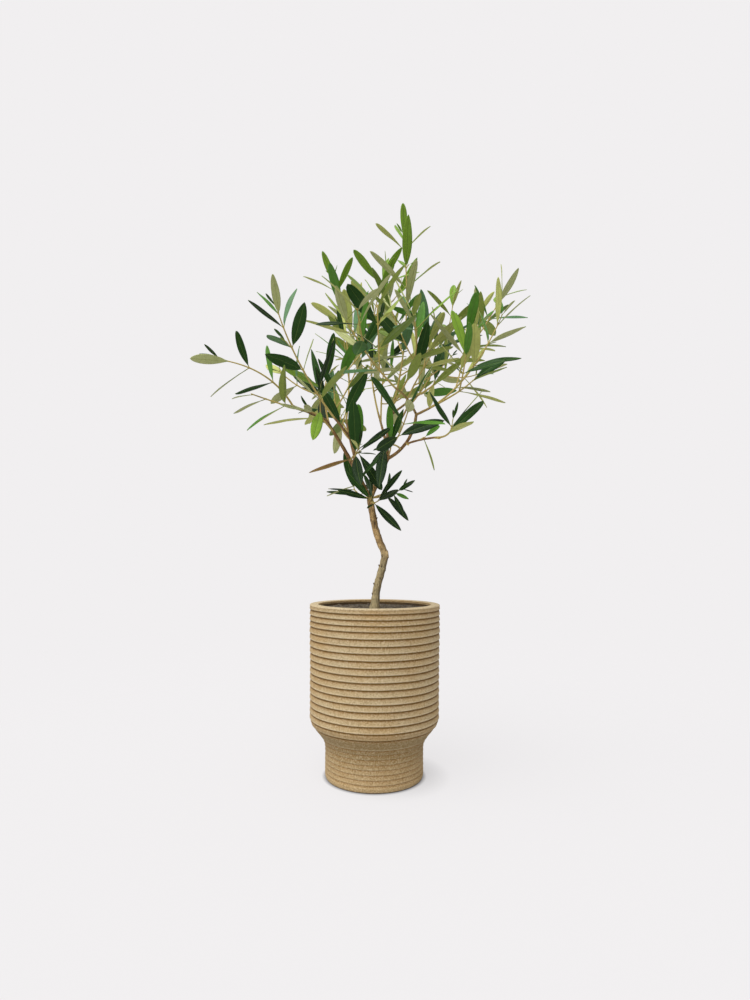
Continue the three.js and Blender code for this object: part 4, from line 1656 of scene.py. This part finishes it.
class OLIVE_OT_potting_mix(Operator):
    """Fills the pot with potting mix and strews it with bark chips"""

    bl_idname = "olive.potting_mix"
    bl_label = "Potting mix"

    def execute(self, context):
        settings = context.scene.potted_olive.mix
        radius = wall_radius(SOIL_LEVEL, POT_HIGH.x / MM) - WALL - GAP
        filling = build_mix(radius, settings.roughness).to_mesh("potting_mix")
        place_piece("potting_mix", filling, [damp_compost(settings)], ["soil"])
        colours = (settings.chip_dark, settings.chip_brown, settings.chip_pale)
        finishes = [bark_chip(f"bark_chip_{i + 1}", colour, settings) for i, colour in enumerate(colours)]
        chips = scatter_chips(settings.chips, radius, settings.roughness).to_mesh("bark_chips")
        place_piece("bark_chips", chips, finishes, ["soil"])
        return {"FINISHED"}


class OLIVE_OT_wood(Operator):
    """Makes the trunk and boughs as one skin of bark"""

    bl_idname = "olive.wood"
    bl_label = "Trunk and boughs"

    def execute(self, context):
        settings = context.scene.potted_olive.wood
        limbs = grow_limbs()
        nodes = ["trunk"] + [f"bough_{name}" for name in BOUGHS]
        mesh = build_wood(limbs, settings.relief)
        place_piece("wood", mesh, [young_olive_bark(settings)], nodes)
        # The dry scales of a bud are matt and finely wrinkled.
        scales = grown_surface("bud_scales", settings.bud, roughness=0.7, grain=2, relief=0.3)
        place_piece("trunk_buds", build_buds(limbs).to_mesh("trunk_buds"), [scales], ["trunk"])
        return {"FINISHED"}


class OLIVE_OT_foliage(Operator):
    """Grows the twigs and leaves of every mass"""

    bl_idname = "olive.foliage"
    bl_label = "Twigs and leaves"

    def execute(self, context):
        settings = context.scene.potted_olive
        masses, space = grow_foliage(grow_limbs())
        draw = random.Random(LEAF_SEED)
        twigs = Shape()
        young_twigs = Shape()
        sides = {"front": (Shape(), []), "back": (Shape(), [])}
        shoots, placed = grow_shoots(space)
        for shoot in shoots:
            add_twig(twigs, shoot)
        for leaf, finish in placed:
            under = finish if finish == DRY else leaf_kinds(leaf, draw)[1]
            add_leaf(sides["front"][0], leaf, draw, finish, under, False)
        for name, mass in masses.items():
            grow_young(mass, space, draw)
            for twig in mass.twigs:
                add_twig(young_twigs if twig.foot < TWIG_RADIUS else twigs, twig)
            shape, nodes = sides["front" if mass.twigs[0].course.tip[1] < 0 else "back"]
            nodes.append(f"foliage_{name}")
            for leaf in mass.leaves + mass.young:
                add_leaf(shape, leaf, draw, *leaf_kinds(leaf, draw), is_turned(leaf, draw))
        finishes = leaf_finishes(settings.leaves)
        for side, (shape, nodes) in sides.items():
            mesh = shape.to_mesh(f"leaves_{side}")
            place_piece(f"leaves_{side}", mesh, finishes, nodes)
        every = [f"foliage_{name}" for name in FOLIAGE]
        # A twig's first bark is smooth and dull, and the skin of a young twig has a slight shine.
        skin = grown_surface("twig_bark", settings.wood.twig, roughness=0.6, grain=2, relief=0.2)
        place_piece("twigs", twigs.to_mesh("twigs"), [skin], every)
        colour = settings.wood.young_twig
        green_skin = grown_surface("young_twig_bark", colour, roughness=0.55, grain=1.5, relief=0.1)
        place_piece("young_twigs", young_twigs.to_mesh("young_twigs"), [green_skin], every)
        return {"FINISHED"}


# The stage, in metres, with the camera's lens and sensor in millimetres.

FLOOR_RADIUS = 4
FLOOR_CORNERS = 96
FADE = (0.35, 1.6)
FLOOR_BOUNCE = 0.8
CONTACT_REACH = 0.006
SHADE_LEAN = (-0.75, -0.3, 0.6)
SHADE_REACH = 0.045
KEY_FROM = (-0.5, -0.55, 1.25)
CAMERA_PLACE = (0, -0.855, 0.3204)
CAMERA_LENS = 20.8
SENSOR = 36
CAMERA_SHIFT = 0.058
CAMERA_ROLL = math.radians(-0.24)


def pale_floor(settings):
    """Matt studio paper, laid flat, that fades into the background and darkens close to the pot."""
    material, tree, place = start_material("pale_studio_paper")
    distance = add_node(tree, "ShaderNodeVectorMath", {0: place}, operation="LENGTH").outputs["Value"]
    fade = add_node(
        tree,
        "ShaderNodeMapRange",
        {"Value": distance, "From Min": FADE[0], "From Max": FADE[1]},
        interpolation_type="SMOOTHSTEP",
    )
    paper = add_node(tree, "ShaderNodeBsdfDiffuse", {"Color": opaque(settings.floor)})
    # The shade close to the pot: a thin line where it stands, and a soft patch away from the light.
    contact = add_node(tree, "ShaderNodeAmbientOcclusion", {"Distance": CONTACT_REACH})
    line = add_node(
        tree,
        "ShaderNodeMapRange",
        {"Value": contact.outputs["AO"], "From Min": 0.35, "To Min": 0.25, "To Max": 1},
    )
    way = unit(np.array(SHADE_LEAN))
    aside = add_node(tree, "ShaderNodeCombineXYZ", {"X": way[0], "Y": way[1], "Z": way[2]})
    side = add_node(
        tree, "ShaderNodeAmbientOcclusion", {"Distance": SHADE_REACH, "Normal": aside.outputs[0]}
    )
    patch = add_node(
        tree,
        "ShaderNodeMapRange",
        {"Value": side.outputs["AO"], "From Min": 0.2, "From Max": 0.95, "To Min": 0.7, "To Max": 1},
    )
    shade = add_node(tree, "ShaderNodeMath", {0: line.outputs[0], 1: patch.outputs[0]}, operation="MULTIPLY")
    glow = add_node(
        tree, "ShaderNodeEmission", {"Color": opaque(settings.backdrop), "Strength": shade.outputs[0]}
    )
    lit = add_node(
        tree, "ShaderNodeMixShader", {0: settings.floor_glow, 1: paper.outputs[0], 2: glow.outputs[0]}
    )
    # The plant gets less light back from the floor than the floor shows.
    bounce = [part * FLOOR_BOUNCE for part in settings.floor]
    dim = add_node(tree, "ShaderNodeBsdfDiffuse", {"Color": opaque(bounce)})
    path = add_node(tree, "ShaderNodeLightPath")
    seen = add_node(
        tree, "ShaderNodeMixShader", {0: path.outputs["Is Camera Ray"], 1: dim.outputs[0], 2: lit.outputs[0]}
    )
    clear = add_node(tree, "ShaderNodeBsdfTransparent")
    mixed = add_node(
        tree, "ShaderNodeMixShader", {0: fade.outputs[0], 1: seen.outputs[0], 2: clear.outputs[0]}
    )
    add_node(tree, "ShaderNodeOutputMaterial", {"Surface": mixed.outputs[0]})
    return material


def light_world(settings):
    """A background that the camera sees as the pale backdrop and that lights the plant more weakly."""
    world = bpy.data.worlds.new("pale_studio")
    bpy.context.scene.world = world
    world.use_nodes = True
    tree = world.node_tree
    tree.nodes.clear()
    path = add_node(tree, "ShaderNodeLightPath")
    lit = add_node(tree, "ShaderNodeBackground", {"Color": (1, 1, 1, 1), "Strength": settings.fill})
    seen = add_node(tree, "ShaderNodeBackground", {"Color": opaque(settings.backdrop), "Strength": 1})
    mixed = add_node(
        tree, "ShaderNodeMixShader", {0: path.outputs["Is Camera Ray"], 1: lit.outputs[0], 2: seen.outputs[0]}
    )
    add_node(tree, "ShaderNodeOutputWorld", {"Surface": mixed.outputs[0]})


class OLIVE_OT_stage(Operator):
    """Lays the floor and sets the lights and the camera"""

    bl_idname = "olive.stage"
    bl_label = "Stage"

    def execute(self, context):
        settings = context.scene.potted_olive.stage
        mesh = bpy.data.meshes.new("floor")
        turns = [2 * math.pi * i / FLOOR_CORNERS for i in range(FLOOR_CORNERS)]
        corners = [(math.cos(turn) * FLOOR_RADIUS, math.sin(turn) * FLOOR_RADIUS, 0) for turn in turns]
        mesh.from_pydata(corners, [], [range(FLOOR_CORNERS)])
        mesh.materials.append(pale_floor(settings))
        floor = bpy.data.objects.new("floor", mesh)
        context.scene.collection.objects.link(floor)
        light_world(settings)
        light = bpy.data.lights.new("key", "SUN")
        light.energy = settings.key_strength
        light.angle = settings.key_size
        key = bpy.data.objects.new("key", light)
        key.rotation_euler = (-Vector(KEY_FROM)).to_track_quat("-Z", "Y").to_euler()
        context.scene.collection.objects.link(key)
        context.scene.view_settings.view_transform = "Standard"
        lens = bpy.data.cameras.new("camera")
        lens.lens = CAMERA_LENS
        lens.sensor_width = SENSOR
        lens.shift_y = CAMERA_SHIFT
        camera = bpy.data.objects.new("camera", lens)
        camera.location = CAMERA_PLACE
        camera.rotation_euler = (math.pi / 2, CAMERA_ROLL, 0)
        context.scene.collection.objects.link(camera)
        context.scene.camera = camera
        return {"FINISHED"}


class OLIVE_PT_panel(Panel):
    """Each step of the build with its settings"""

    bl_label = "Potted Olive"
    bl_idname = "OLIVE_PT_panel"
    bl_space_type = "VIEW_3D"
    bl_region_type = "UI"
    bl_category = "Potted Olive"

    def draw(self, context):
        for operator, group in STEPS:
            self.layout.operator(operator.bl_idname)
            settings = getattr(context.scene.potted_olive, group)
            for name in settings.bl_rna.properties.keys():
                if name not in ("rna_type", "name"):
                    self.layout.prop(settings, name)


GROUPS = (PotSettings, MixSettings, WoodSettings, LeafSettings, StageSettings, PlantSettings)
STEPS = (
    (OLIVE_OT_pot, "pot"),
    (OLIVE_OT_potting_mix, "mix"),
    (OLIVE_OT_wood, "wood"),
    (OLIVE_OT_foliage, "leaves"),
    (OLIVE_OT_stage, "stage"),
)


def register():
    for group in GROUPS:
        bpy.utils.register_class(group)
    for operator, _ in STEPS:
        bpy.utils.register_class(operator)
    bpy.utils.register_class(OLIVE_PT_panel)
    bpy.types.Scene.potted_olive = PointerProperty(type=PlantSettings)


def unregister():
    del bpy.types.Scene.potted_olive
    bpy.utils.unregister_class(OLIVE_PT_panel)
    for operator, _ in reversed(STEPS):
        bpy.utils.unregister_class(operator)
    for group in reversed(GROUPS):
        bpy.utils.unregister_class(group)


def main():
    """Builds the plant on its stage."""
    register()
    bpy.ops.olive.pot()
    bpy.ops.olive.potting_mix()
    bpy.ops.olive.wood()
    bpy.ops.olive.foliage()
    bpy.ops.olive.stage()


if __name__ == "__main__":
    main()
